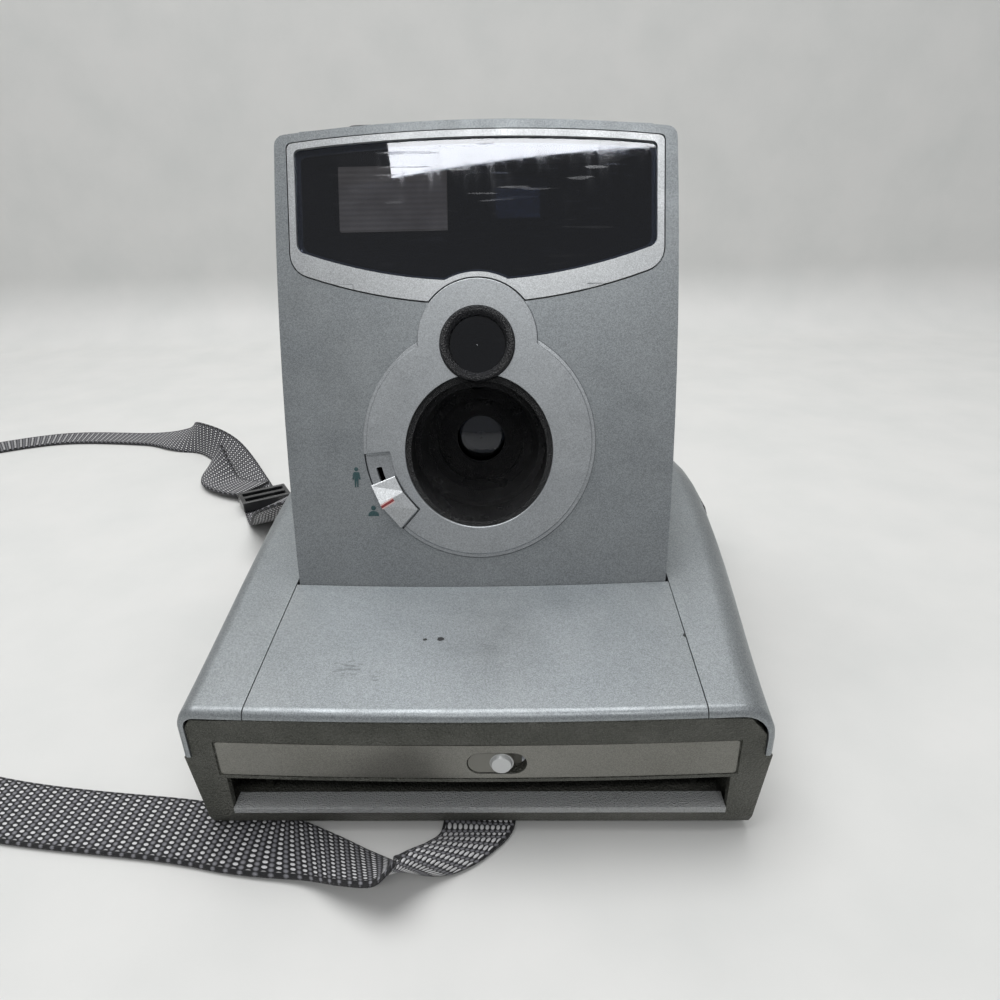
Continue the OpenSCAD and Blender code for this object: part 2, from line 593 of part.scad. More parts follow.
// Line of the deck and the wings along Y, for a rise in degrees; the wings fall away behind the tower
function lip_drop(y) = y >= lip_r ? 0 : lip_r - sqrt(lip_r * lip_r - pow(lip_r - y, 2));
function deck_z(y, rise) =
    let (t = tan(rise), z0 = front_h + (min(y, widest_y) - lip_r) * t, u = (y - widest_y) / (body_d - widest_y))
        y < lip_r ? front_h - lip_drop(y)
        : z0 + (u <= 0 ? 0 : (body_d - widest_y) * t * (u - u * u) - (z0 - parting_z - 7.5) * pow(u, 2.2));
wing_y = [0.05, 0.3, 0.8, 1.5, lip_r, 6, 14, 26, 40, 54, 68, 82, 94, 105, 116, 128, 140, 150, 158, corner_y,
    corner_y + 4, corner_y + 7.5, corner_y + 10.5, corner_y + 12.8, corner_y + 14.1, corner_y + 15, corner_y + 15.6];
function wing_ring(bulge, edge, rise, y) =
    let (nose = 1.2 - sqrt(max(0, 1.44 - pow(1.2 - min(y, 1.2), 2))),
        xo = side_x(bulge, y) - nose,
        xi = y < corner_y + 13.9 ? max(min(side_x(bulge, y, 1.8), xo - 0.4), seam_x + 0.3) : seam_x + 0.3,
        ro = min(edge, (xo - seam_x) * 0.8),
        ri = min(max(edge - 2, 1), (xi - seam_x) * 0.8),
        zs = deck_z(y, deck_rise),
        zt = deck_z(y, rise),
        thick = y < lip_r ? max(shell_t - lip_drop(y), 0.12) : shell_t,
        f = max(0, 1 - y / deck_d),
        outer = concat([[seam_x, zs], [(seam_x + xo - ro) / 2, (zs + zt) / 2]],
            [for (a = [90:-15:0]) [xo - ro + ro * cos(a), zt - ro + ro * sin(a)]], [[xo, parting_z]]),
        inner = concat([[seam_x, zs - thick], [(seam_x + xi - ri) / 2, (zs + zt) / 2 - thick]],
            [for (a = [90:-15:0]) [xi - ri + ri * cos(a), zt - thick - ri + ri * sin(a)]], [[xi, parting_z]]))
            [for (p = concat(outer, [for (i = [len(inner) - 1:-1:0]) inner[i]])) [p[0], y + bow(p[0]) * f, p[1]]];
module side_shell(bulge, edge, rise) {
    loft([for (y = wing_y) wing_ring(bulge, edge, rise, y)]);
    for (y = [lug_y - lug_half, lug_y + lug_half - 2.4]) difference() {
        translate([side_x(bulge, y + 1.2), y, lug_z]) rotate([-90, 0, 0]) {
            translate([lug_out - 3.1, 0, 0]) cylinder(h = 2.4, r = 3.1, $fn = 48);
            translate([-1.2, -3.1, 0]) cube([lug_out - 1.9, 6.2, 2.4]);
        }
        translate([lug_bar_x(bulge), y - 1, lug_z]) rotate([-90, 0, 0]) cylinder(h = 5, r = bar_r + fine_gap, $fn = 48);
    }
}
function lug_bar_x(bulge) = side_x(bulge, lug_y) + lug_out - 3;
module right_side_shell() color(silver) placed() side_shell(grip_bulge, 9, deck_rise + 1.6);
module left_side_shell() color(silver) placed() mirror([1, 0, 0]) side_shell(plain_bulge, 5, deck_rise + 0.6);
module strap_bars() color(steel) placed() {
    for (x = [lug_bar_x(grip_bulge), -lug_bar_x(plain_bulge)])
        translate([x, lug_y - lug_half + 0.2, lug_z]) rotate([-90, 0, 0])
            cylinder(h = 2 * lug_half - 0.4, r = bar_r, $fn = 48);
}

// Deck in front of the tower
deck_half = seam_x - seam_gap;
function deck_ring(x) =
    let (back = foot_y + sag(min(abs(x), tower_w / 2)) / cos(tower_lean) - 0.4, b = bow(x),
        y1 = (back - lip_r) / 2,
        outer = concat([for (a = [180:-18:90]) [b + lip_r + lip_r * cos(a), front_h - lip_r + lip_r * sin(a)]],
            [[y1, deck_z(y1, deck_rise)], [back, deck_z(back, deck_rise)]]),
        inner = concat([for (a = [180:-18:90]) [b + lip_r + (lip_r - 0.1) * cos(a) + 0.1, front_h - shell_t - 0.1 * a / 180]],
            [[y1, deck_z(y1, deck_rise) - shell_t],
             [back - shell_t * tan(tower_lean), deck_z(back, deck_rise) - shell_t]]))
            [for (p = concat(outer, [for (i = [len(inner) - 1:-1:0]) inner[i]])) [x, p[0], p[1]]];
module deck_panel() color(silver) placed() loft([for (i = [8:-1:-8]) deck_ring(deck_half * i / 8)]);

// Dark base
draft = 3.5;
base_top = parting_z - gap;
function base_ring(z, inset) =
    let (half = concat([[side_x(grip_bulge, base_front) - inset, base_front]],
            [for (y = [50, 75, 105, 130, 150, corner_y]) [side_x(grip_bulge, y) - inset, y]],
            [for (t = [20:20:80]) [side_x(grip_bulge, corner_y) - inset - corner_r * (1 - cos(t)),
                corner_y + 0.3 - inset + corner_r * sin(t)]],
            [[side_x(grip_bulge, corner_y) - inset - corner_r, body_d + 0.3 - inset]]),
        d = [for (p = half) swell(grip_bulge, p[1]) - swell(plain_bulge, p[1])])
            [for (p = concat(half, [for (i = [len(half) - 1:-1:0]) [-half[i][0] + d[i], half[i][1]]]))
                [p[0], p[1], z]];
pod_x = [bay_w / 2 + bay_wall, bay_w / 2 + bay_wall + 10];
module base_tray() color(door_grey) placed() {
    difference() {
        union() {
            loft([base_ring(foot_h, draft), base_ring(foot_h + 2, draft - 0.8), base_ring(base_top, 0.3)]);
            // upright that carries the idlers
            translate([-pod_x[0], base_front, base_top - 1]) cube([bay_wall - gap, 28, pinion_z + 4.5 - base_top]);
        }
        translate([-bay_w / 2, base_front - 1, floor_z]) cube([bay_w, bay_rear - base_front + 1, 40]);
        translate([-pod_x[1], base_front - 1, floor_z]) cube([10, 34, 40]);
        translate([pod_x[0], base_front + 60, floor_z]) cube([10, 82, 40]);
        translate([bay_w / 2 - 1, base_front + 118, floor_z + 2.6]) cube([4, 16, 6]);
        translate([-pod_x[0] - 1, pinion_y, pinion_z]) rotate([0, 90, 0]) cylinder(h = 5, r = 2.2, $fn = 32);
    }
    for (p = [[low_idler_y, low_idler_z], [high_idler_y, high_idler_z]])
        translate([gear_x - 0.9, p[0], p[1]]) rotate([0, 90, 0])
            cylinder(h = -pod_x[0] + 0.5 - gear_x + 0.9, r = shaft_r, $fn = 48);
    for (p = [[low_idler_y, low_idler_z], [high_idler_y, high_idler_z]])
        translate([gear_x + gear_t + 0.15, p[0], p[1]]) rotate([0, 90, 0])
            cylinder(h = -pod_x[0] + 0.5 - gear_x - gear_t - 0.15, r = 3, $fn = 48);
    for (s = [-1, 1]) difference() {
        union() {
            translate([s > 0 ? lug_x[0] : -lug_x[1], hinge_y, hinge_z]) rotate([0, 90, 0])
                cylinder(h = lug_x[1] - lug_x[0], r = knuckle_r, $fn = 64);
            translate([s > 0 ? lug_x[0] : -lug_x[1], hinge_y, hinge_z - knuckle_r])
                cube([lug_x[1] - lug_x[0], base_front - hinge_y + 0.5, 2 * knuckle_r]);
        }
        translate([s > 0 ? 0 : -90, hinge_y, hinge_z]) rotate([0, 90, 0]) cylinder(h = 90, r = pin_r + 0.02, $fn = 48);
    }
}
module feet() color("#1c1c1d") placed() {
    for (x = [-52, 52], y = [base_front + 9, body_d - 22])
        translate([x, y, 0]) rotate_extrude($fn = 64) polygon([[0, 0], [5.4, 0], [6, 0.6], [6, foot_h], [0, foot_h]]);
}

// Bay frame with the picture aperture, and the motor's cradle
module film_bay_frame() color("#202124") placed() difference() {
    union() {
        translate([-bay_w / 2 + gap, base_front, bay_top]) cube([bay_w - 2 * gap, bay_rear - base_front - gap, 2]);
        for (x = [-56, -36]) translate([x, pinion_y - 8, bay_top + 1]) cube([3, 16, pinion_z - bay_top]);
    }
    translate([-48, film_y - 38, bay_top - 1]) cube([96, 76, 4]);
    translate([-57, pinion_y, pinion_z]) rotate([0, 90, 0]) cylinder(h = 30, r = motor_r + fine_gap, $fn = 96);
}
module drive_motor() color(steel) placed() translate([0, pinion_y, pinion_z]) rotate([0, 90, 0]) {
    translate([0, 0, -58.6]) cylinder(h = 28, r = motor_r, $fn = 96);
    translate([0, 0, gear_x - 1.4]) cylinder(h = -58 - gear_x + 1.4, r = 1, $fn = 32);
}

cone_wall = 1.9;
module cone_hull(t, low) hull() {
    translate([-48 - t, film_y - 38 - t, low]) cube([96 + 2 * t, 76 + 2 * t, 0.1]);
    mirror_frame() translate([0, 0, 2.05 + t]) linear_extrude(0.1) polygon([
        [-mirror_top_half - 1.2 - t, -mirror_up - 0.2 - t], [mirror_top_half + 1.2 + t, -mirror_up - 0.2 - t],
        [mirror_low_half + 0.7 + t, mirror_down + 0.2 + t], [-mirror_low_half - 0.7 - t, mirror_down + 0.2 + t]]);
    lens_frame() translate([-10 - t, -10 - t, -cone_e - 2]) cube([20 + 2 * t, 20 + 2 * t, 0.1]);
}
module light_cone() color("#1d1e20") placed() difference() {
    union() {
        cone_hull(cone_wall, bay_top + 2 + fine_gap);
        lens_frame() translate([0, 0, -cone_e - 2]) cylinder(h = 2, r = housing_r, $fn = 128);
    }
    cone_hull(0, bay_top + 1);
    lens_frame() translate([-32, -34, -cone_e]) cube([64, 68, 20]);
    lens_frame() translate([0, 0, -cone_e - 4]) cylinder(h = 6, r = 5, $fn = 64);
}
module taking_mirror() color("#cfd4d6") placed() mirror_frame() linear_extrude(2) polygon([
    [-mirror_top_half, -mirror_up], [mirror_top_half, -mirror_up],
    [mirror_low_half, mirror_down], [-mirror_low_half, mirror_down]]);

module battery_contacts() color("#c9a45a") placed() {
    for (x = [-24, 18]) translate([x, film_y - 8, floor_z + eps]) {
        cube([6, 20, 0.3]);
        translate([0, 5, 0.2]) cube([6, 8, 0.5]);
    }
}
module film_pick() color(steel) placed() {
    y0 = base_front + 92;
    translate([pod_x[0] + 0.3, y0, floor_z + eps]) cube([1.2, 40, 14]);
    translate([bay_w / 2 - 1.2, y0 + 37.4, floor_z + 4]) cube([pod_x[0] + 0.8 - bay_w / 2 + 1.2, 1.2, 3]);
}

// Spur gear with involute flanks, thinned for backlash, a tooth pointing along +x when its phase is 0
function involute(base, t) = base * [cos(t) + t * PI / 180 * sin(t), sin(t) - t * PI / 180 * cos(t)];
function turned(p, a) = [p[0] * cos(a) - p[1] * sin(a), p[0] * sin(a) + p[1] * cos(a)];
function gear_outline(n) =
    let (pr = pitch_r(n), base = pr * cos(20), tip = pr + 0.92 * gear_module, root = pr - 1.2 * gear_module,
        inv = tan(20) * 180 / PI - 20, half = 90 / n - 0.11 / pr * 180 / PI,
        t0 = root > base ? sqrt(pow(root / base, 2) - 1) * 180 / PI : 0,
        t1 = sqrt(pow(tip / base, 2) - 1) * 180 / PI,
        flank = [for (i = [0:4]) turned(involute(base, t0 + (t1 - t0) * i / 4), -half - inv)],
        low = turned([root, 0], -half - inv - (root < base ? 0 : 0)),
        tooth = concat([low], flank, [for (i = [4:-1:0]) [flank[i][0], -flank[i][1]]], [[low[0], -low[1]]]))
            [for (k = [0:n - 1], p = tooth) turned(p, k * 360 / n)];
module gear(n, phase, y, z, bore) translate([gear_x, y, z]) along_x() difference() {
    union() {
        linear_extrude(gear_t) rotate([0, 0, phase]) polygon(gear_outline(n));
    }
    translate([0, 0, -1]) cylinder(h = gear_t + 2, r = bore, $fn = 48);
}
module roller_gear() color(gear_white) placed() gear(roller_teeth, near_a, roller_y, lower_z, shaft_r + 0.02);
module lower_idler() color(gear_white) placed() gear(
    idler_teeth, low_phase, low_idler_y, low_idler_z, shaft_r + fine_gap);
module upper_idler() color(gear_white) placed() gear(
    idler_teeth, high_phase, high_idler_y, high_idler_z, shaft_r + fine_gap);
module motor_pinion() color(gear_white) placed() gear(pinion_teeth, pinion_phase, pinion_y, pinion_z, 1.03);

// Film door, which carries the rollers
bow_r = (half_w * half_w + nose_bow * nose_bow) / (2 * nose_bow);
side_line = [[2.2, door_top], [0.8, 31], [0.6, 18], [0.8, 9], [3.5, foot_h], [door_back - 1, foot_h],
    [door_back, hinge_z], [door_back, door_top]];
module bowed(front) translate([0, bow_r + front - 0.6, 0]) cylinder(h = 60, r = bow_r - 0.6, $fn = 720);
module door_shape() intersection() {
    translate([-90, 0, 0]) along_x() linear_extrude(180) polygon(side_line);
    translate([0, 60, 0]) rotate([90, 0, 0]) linear_extrude(70) polygon([
        [-half_w + 2.6, foot_h], [half_w - 2.6, foot_h], [half_w + 0.2, parting_z - 0.4], [half_w - 1.9, parting_z - 0.3],
        [half_w - 2.1, door_top - 5.3], [half_w - 6.5, door_top], [-half_w + 3.4, door_top],
        [-half_w + 1.9, door_top - 2.2], [-half_w + 1.9, parting_z - 0.3], [-half_w - 0.2, parting_z - 0.4]]);
    bowed(0.6);
}
module stadium(w, h) hull() {
    for (x = [-1, 1]) translate([x * (w - h) / 2, 0]) circle(r = h / 2, $fn = 48);
}
bracket_x = roller_half + 1;
door_wall = 4;
module film_door() color(door_grey) placed() difference() {
    union() {
        difference() {
            door_shape();
            translate([cavity_left, door_wall, floor_z - 0.4])
                cube([cavity_right - cavity_left, 40, door_top - 2 - floor_z + 0.4]);
        }
        for (x = [-bracket_x - 1.8, bracket_x]) translate([x, roller_y - 6, floor_z - 1]) cube([1.8, 12, 20]);
    }
    // picture exit, label recess and latch slot
    translate([-slot_w / 2, -1, slot_low - 1.9]) cube([slot_w, 5.5, slot_h + 1.9]);
    difference() {
        translate([-65.2, -2, 19.9]) cube([130.4, 8, 11]);
        bowed(1.05);
    }
    translate([latch_x, 8, latch_z]) rotate([90, 0, 0]) linear_extrude(12) stadium(latch_slot[0], latch_slot[1]);
    // room for the hinge lugs
    for (x = [-lug_x[1] - 0.2, lug_x[0] - 0.2])
        translate([x, hinge_y - knuckle_r - 0.5, 0]) cube([lug_x[1] - lug_x[0] + 0.4, 20, hinge_z + knuckle_r + 0.5]);
    translate([-72, hinge_y, hinge_z]) rotate([0, 90, 0]) cylinder(h = 11, r = pin_r + fine_gap, $fn = 48);
    translate([61, hinge_y, hinge_z]) rotate([0, 90, 0]) cylinder(h = 8, r = pin_r + fine_gap, $fn = 48);
    for (z = [lower_z, upper_z]) translate([-90, roller_y, z]) {
        translate([30, 0, 0]) rotate([0, 90, 0]) cylinder(h = 120, r = shaft_r + fine_gap, $fn = 48);
    }
}
module exit_guide() color(bright) placed() translate([-slot_w / 2 + gap, 1.5, slot_low - 1.9 + fine_gap])
    cube([slot_w - 2 * gap, 5.5, 1.8]);
module latch_slide() color(bright) placed() {
    x0 = latch_x - latch_travel / 2;
    w = latch_slot[0] - latch_travel - 0.4;
    translate([x0, door_wall + 0.3, latch_z]) rotate([90, 0, 0]) linear_extrude(door_wall - 0.8) stadium(w, latch_slot[1] - 0.5);
    translate([x0 + w / 2 - 3.05, 1.4, latch_z]) rotate([90, 0, 0]) cylinder(h = 1.3, r1 = 2.9, r2 = 2.4, $fn = 48);
    translate([x0 - w / 2 - 2, door_wall + 0.15, latch_z - 4.6]) cube([w + 4, 1.2, 9.2]);
}
module roller(r, z, ends) placed() translate([0, roller_y, z]) rotate([0, 90, 0]) {
    translate([0, 0, -roller_half]) cylinder(h = 2 * roller_half, r = r, $fn = 96);
    translate([0, 0, ends[0]]) cylinder(h = ends[1] - ends[0], r = shaft_r, $fn = 48);
}
module upper_roller() color(steel) roller(upper_roller_r, upper_z, [-bracket_x - 1.7, bracket_x + 1.7]);
module lower_roller() color(steel) roller(roller_r, lower_z, [gear_x - 0.2, bracket_x + 1.7]);
module hinge_pins() color(steel) placed() {
    translate([lug_x[0], hinge_y, hinge_z]) rotate([0, 90, 0]) cylinder(h = cavity_right + 3 - lug_x[0], r = pin_r, $fn = 48);
    translate([cavity_left - 2.6, hinge_y, hinge_z]) rotate([0, 90, 0])
        cylinder(h = -lug_x[0] - cavity_left + 2.6, r = pin_r, $fn = 48);
}

// Webbing: rings across its route, each leg of the route run smoothly through its points
function route(p, t) = let (n = len(p) - 1, k = min(floor(t), n - 1), u = t - k,
    a = p[max(k - 1, 0)], b = p[k], c = p[k + 1], d = p[min(k + 2, n)])
        0.5 * (2 * b + (c - a) * u + (2 * a - 5 * b + 4 * c - d) * u * u + (3 * b - a - 3 * c + d) * u * u * u);
function unit(v) = v / norm(v);
module webbing(p, count, t0, t1) {
    n = len(p) - 1;
    half = strap_w / 2;
    edge = strap_t / 2;
    loft([for (i = [0:count])
        let (t = t0 + (t1 - t0) * i / count, q = route(p, t), e = 0.02, f = route(p, min(t + e, n)) - route(p, max(t - e, 0)),
            dir = unit([f[0], f[1], f[2]]), side = unit(cross(dir, [0, 0, 1])), up = cross(side, dir),
            s = side * cos(q[3]) + up * sin(q[3]), u = up * cos(q[3]) - side * sin(q[3]), c = [q[0], q[1], q[2]])
            [for (k = [[1, 0.6], [0.96, 1], [-0.96, 1], [-1, 0.6], [-1, -0.6], [-0.96, -1], [0.96, -1], [1, -0.6]])
                c + s * half * k[0] + u * edge * k[1]]]);
}
left_lug = -lug_bar_x(plain_bulge) - bar_r - 0.1;
right_lug = lug_bar_x(grip_bulge) + bar_r + 0.1;
strap_route = [
    [left_lug, lug_y, lug_z, 0], [left_lug - 5, lug_y, lug_z, 0], [-97, 156, 22, 0], [-105, 170, 9, 0],
    [-112, 184, 1.6, 0], [-124, 208, 1, 0], [-142, 238, 1, 0], [-176, 268, 1, 0], [-225, 298, 1, 0],
    [-290, 305, 1, 0], [-345, 270, 1, 0], [-365, 205, 1, 0], [-345, 135, 1, 0], [-290, 75, 1, 0],
    [-215, 32, 1, 0], [-140, 10, 1, 0], [-80, 1.6, 1.1, 0], [-62, -1.5, 1.2, 0], [-45, -6.5, 3.5, 15],
    [-32, -12, 8.3, 50], [-21, -17, 10.2, 90], [-13, -16.5, 8.5, 130], [-5, -12.5, 3.9, 165],
    [2, -6.5, 1.3, 180], [11, 4, 1.2, 180], [17, 18.6, 1, 180], [20.5, 32, 1, 180],
    [29, 62, 1, 180], [33, 110, 1, 180], [35, 150, 1, 180], [42, 186, 1, 180], [62, 204, 5, 180],
    [90, 202, 16, 180], [104, 184, 25, 180], [106, 160, 29.5, 180], [98, 151.5, lug_z, 180],
    [right_lug + 6, lug_y, lug_z, 180], [right_lug, lug_y, lug_z, 180]
];
// Left part of the strap, from its lug to the foot of the door
module neck_strap() color("#4a4d52") placed() webbing(strap_route, 40, 0, 16);
// Front part, twisted once, which the falling door takes along
module strap_front() color("#4a4d52") placed() webbing(strap_route, 24, 16.008, 25);
// Right part, under the body and up to its lug
module strap_rear() color("#4a4d52") placed() webbing(strap_route, 24, 26, 37);
module strap_tail() color("#4a4d52") placed() webbing([
    [-127.5, 213, 4.9, 0], [-131, 215, 4, 0], [-140, 219, 3.2, 0], [-150, 226, 3, 0], [-157, 236, 6, 30], [-160, 246, 11, 60]
], 24, 0, 5);
module strap_adjuster() color(black) placed() translate([-119, 202, 4.6]) rotate([0, 0, 30]) difference() {
    translate([-12, -7.5, -2.6]) cube([24, 15, 5.2]);
    for (y = [-5.2, 1.2]) translate([-10, y, -4]) cube([20, 4, 9]);
}

front_panel();
deck_panel();
left_side_shell();
right_side_shell();
rear_shell();
base_tray();
feet();
lens_ring();
lens_funnel();
lens_barrel();
front_element();
rear_element();
sensor_ring();
sensor_lens();
closeup_lever();
closeup_arm();
closeup_lens();
shutter_plate();
upper_blade();
lower_blade();
window_bezel();
window_pane();
window_tray();
flash_lens();
flash_reflector();
flash_tube();
flash_capacitor();
flash_board();
finder_objective();
finder_tunnel();
eyepiece_lens();
eyecup();
shutter_button();
button_spring();
counter_dial();
film_bay_frame();
light_cone();
taking_mirror();
battery_contacts();
film_pick();
drive_motor();
motor_pinion();
upper_idler();
lower_idler();
film_door();
exit_guide();
latch_slide();
upper_roller();
lower_roller();
roller_gear();
hinge_pins();
strap_bars();
neck_strap();
strap_front();
strap_rear();
strap_tail();
strap_adjuster();
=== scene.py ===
"""Looks of a wide-film instant camera: finished shells, glass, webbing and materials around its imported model.

Lengths are millimetres in the nose frame, unless a name ends in _m: x runs to the right of someone who
faces the lens, y towards the back and z up, from the table under the middle of the lip.
"""
import json
import logging
import math
from dataclasses import dataclass
from enum import Enum
from functools import cached_property
from typing import Callable

import bmesh
import bpy
import numpy as np
from bpy.types import ID, Material, Mesh, Node, NodeSocket, Object
from mathutils import Matrix, Vector
from mathutils.geometry import delaunay_2d_cdt

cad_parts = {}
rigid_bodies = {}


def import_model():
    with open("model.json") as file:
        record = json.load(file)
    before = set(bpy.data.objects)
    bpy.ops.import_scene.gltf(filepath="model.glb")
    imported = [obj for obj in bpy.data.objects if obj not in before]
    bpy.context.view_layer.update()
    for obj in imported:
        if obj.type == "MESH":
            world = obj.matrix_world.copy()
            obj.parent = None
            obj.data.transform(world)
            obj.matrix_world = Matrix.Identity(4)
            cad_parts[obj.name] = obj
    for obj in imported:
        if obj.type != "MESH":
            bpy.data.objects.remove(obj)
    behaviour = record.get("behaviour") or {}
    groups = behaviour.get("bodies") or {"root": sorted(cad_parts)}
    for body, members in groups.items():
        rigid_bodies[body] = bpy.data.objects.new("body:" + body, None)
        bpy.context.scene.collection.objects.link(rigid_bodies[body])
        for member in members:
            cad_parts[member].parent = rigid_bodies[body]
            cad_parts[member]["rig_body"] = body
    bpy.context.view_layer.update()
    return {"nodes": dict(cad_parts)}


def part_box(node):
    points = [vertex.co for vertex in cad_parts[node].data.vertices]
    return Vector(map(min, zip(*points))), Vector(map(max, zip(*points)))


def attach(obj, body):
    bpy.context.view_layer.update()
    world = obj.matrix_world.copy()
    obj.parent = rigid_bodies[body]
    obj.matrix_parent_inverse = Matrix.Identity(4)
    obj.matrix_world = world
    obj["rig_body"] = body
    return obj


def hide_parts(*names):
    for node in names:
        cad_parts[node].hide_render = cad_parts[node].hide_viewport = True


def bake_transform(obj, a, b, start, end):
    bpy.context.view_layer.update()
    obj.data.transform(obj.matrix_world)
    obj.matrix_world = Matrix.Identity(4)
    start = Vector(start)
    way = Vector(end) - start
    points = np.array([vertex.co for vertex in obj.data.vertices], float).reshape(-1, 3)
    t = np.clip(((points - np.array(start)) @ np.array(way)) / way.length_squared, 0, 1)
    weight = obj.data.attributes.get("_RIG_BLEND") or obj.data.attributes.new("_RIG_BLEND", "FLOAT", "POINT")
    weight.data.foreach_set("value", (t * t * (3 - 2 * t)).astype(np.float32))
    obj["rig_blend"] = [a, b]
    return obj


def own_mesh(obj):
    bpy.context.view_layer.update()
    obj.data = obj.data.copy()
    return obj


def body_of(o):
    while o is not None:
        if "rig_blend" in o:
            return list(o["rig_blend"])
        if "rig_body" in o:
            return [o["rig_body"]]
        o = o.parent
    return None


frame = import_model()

LOG = logging.getLogger("camera")
# Corners of a CAD node within SAME metres are one, and its faces within FLAT degrees are merged. Edges
# under SLIVER metres are dropped. A mitre is cut off where its cosine is under MITRE. In a flat fill,
# points within TOUCH millimetres are one.
SAME, FLAT, SLIVER, MITRE, TOUCH = 2e-6, 0.02, 1e-7, 0.4, 1e-6
Array = np.ndarray
Pair = tuple[float, float]
Triple = tuple[float, float, float]
Four = tuple[float, float, float, float]
MM = 0.001


# ---------------------------------------------------------------- sizes and the body's form


@dataclass(frozen=True)
class Sizes:
    """Driving sizes of the camera, under the names that its construction gives them."""

    body_w: float = 146.0
    body_d: float = 182.0
    front_h: float = 41.0
    deck_d: float = 51.7
    deck_rise: float = 4.0
    nose_bow: float = 2.0
    grip_bulge: float = 5.5
    plain_bulge: float = 2.5
    tower_w: float = 110.0
    tower_lean: float = 21.0
    strap_w: float = 19.0
    strap_t: float = 1.4
    lip_r: float = 2.3
    face_swell: float = 3.7
    face_sag: float = 1.9
    widest_y: float = 105.0
    button_travel: float = 1.5
    lug_y: float = 151.0
    lug_z: float = 30.2
    lug_out: float = 6.0
    bar_r: float = 1.1


S = Sizes()


def unit(rows: Array) -> Array:
    """Rows divided by their lengths."""
    return rows / np.linalg.norm(rows, axis=1)[:, None]


class Form:
    """The body's outlines as formulas, those of places over whole arrays of them."""

    half_w = S.body_w / 2
    foot_z = S.front_h + (S.deck_d - S.lip_r) * math.tan(math.radians(S.deck_rise))
    lean = math.radians(S.tower_lean)
    face_r = (S.tower_w / 2 + S.face_swell) ** 2 / (2 * S.face_sag)
    swell_end = S.body_d + 8
    bar_inset = 3.0

    @classmethod
    def bow(cls, x: Array) -> Array:
        """Parabola by which the lip's ends lie further back than its middle."""
        return S.nose_bow * (x / cls.half_w) ** 2

    @classmethod
    def sag(cls, x: Array) -> Array:
        """Circle by which the tower's face falls back at its edges."""
        return cls.face_r - np.sqrt(cls.face_r**2 - x**2)

    @classmethod
    def on_face(cls, x: Array, up: Array, out: Array) -> Array:
        """Points on the leaning face at x, a distance up it and out of it, where it sags.

        Args:
            x: places across.
            up: distances up the slope.
            out: heights over the surface.

        Returns:
            Nose-frame points.
        """
        c, s = math.cos(cls.lean), math.sin(cls.lean)
        out = out - cls.sag(x)
        return np.stack([0.0 + x, S.deck_d + up * s - out * c, cls.foot_z + up * c + out * s], -1)

    @classmethod
    def face_normal(cls, points: Array) -> Array:
        """Normals of the face: out of its plane, tipped sideways by the slope of the sag.

        Args:
            points: nose-frame points on the face.

        Returns:
            A unit normal at each.
        """
        slope = points[:, :1] / np.sqrt(cls.face_r**2 - points[:, :1] ** 2)
        c, s = math.cos(cls.lean), math.sin(cls.lean)
        return unit(np.concatenate([slope, -c + 0 * slope, s + 0 * slope], 1))

    @classmethod
    def bar_x(cls, bulge: float) -> float:
        """Distance of a strap bar from the middle, by the cosine of the swell behind its widest place."""
        swell = bulge * np.cos(np.pi / 2 * (S.lug_y - S.widest_y) / (cls.swell_end - S.widest_y))
        return float(cls.half_w + swell) + S.lug_out - cls.bar_inset


LOW, HIGH = (np.array(corner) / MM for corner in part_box("deck_panel"))
NOSE = np.array([(LOW[0] + HIGH[0]) / 2, LOW[1], 0.0])


def row_m(points: Array) -> Array:
    """Takes nose-frame millimetres to row-frame metres: a shift by the nose's place, then the unit."""
    return (np.asarray(points, float) + NOSE) * MM


# ---------------------------------------------------------------- mesh tools


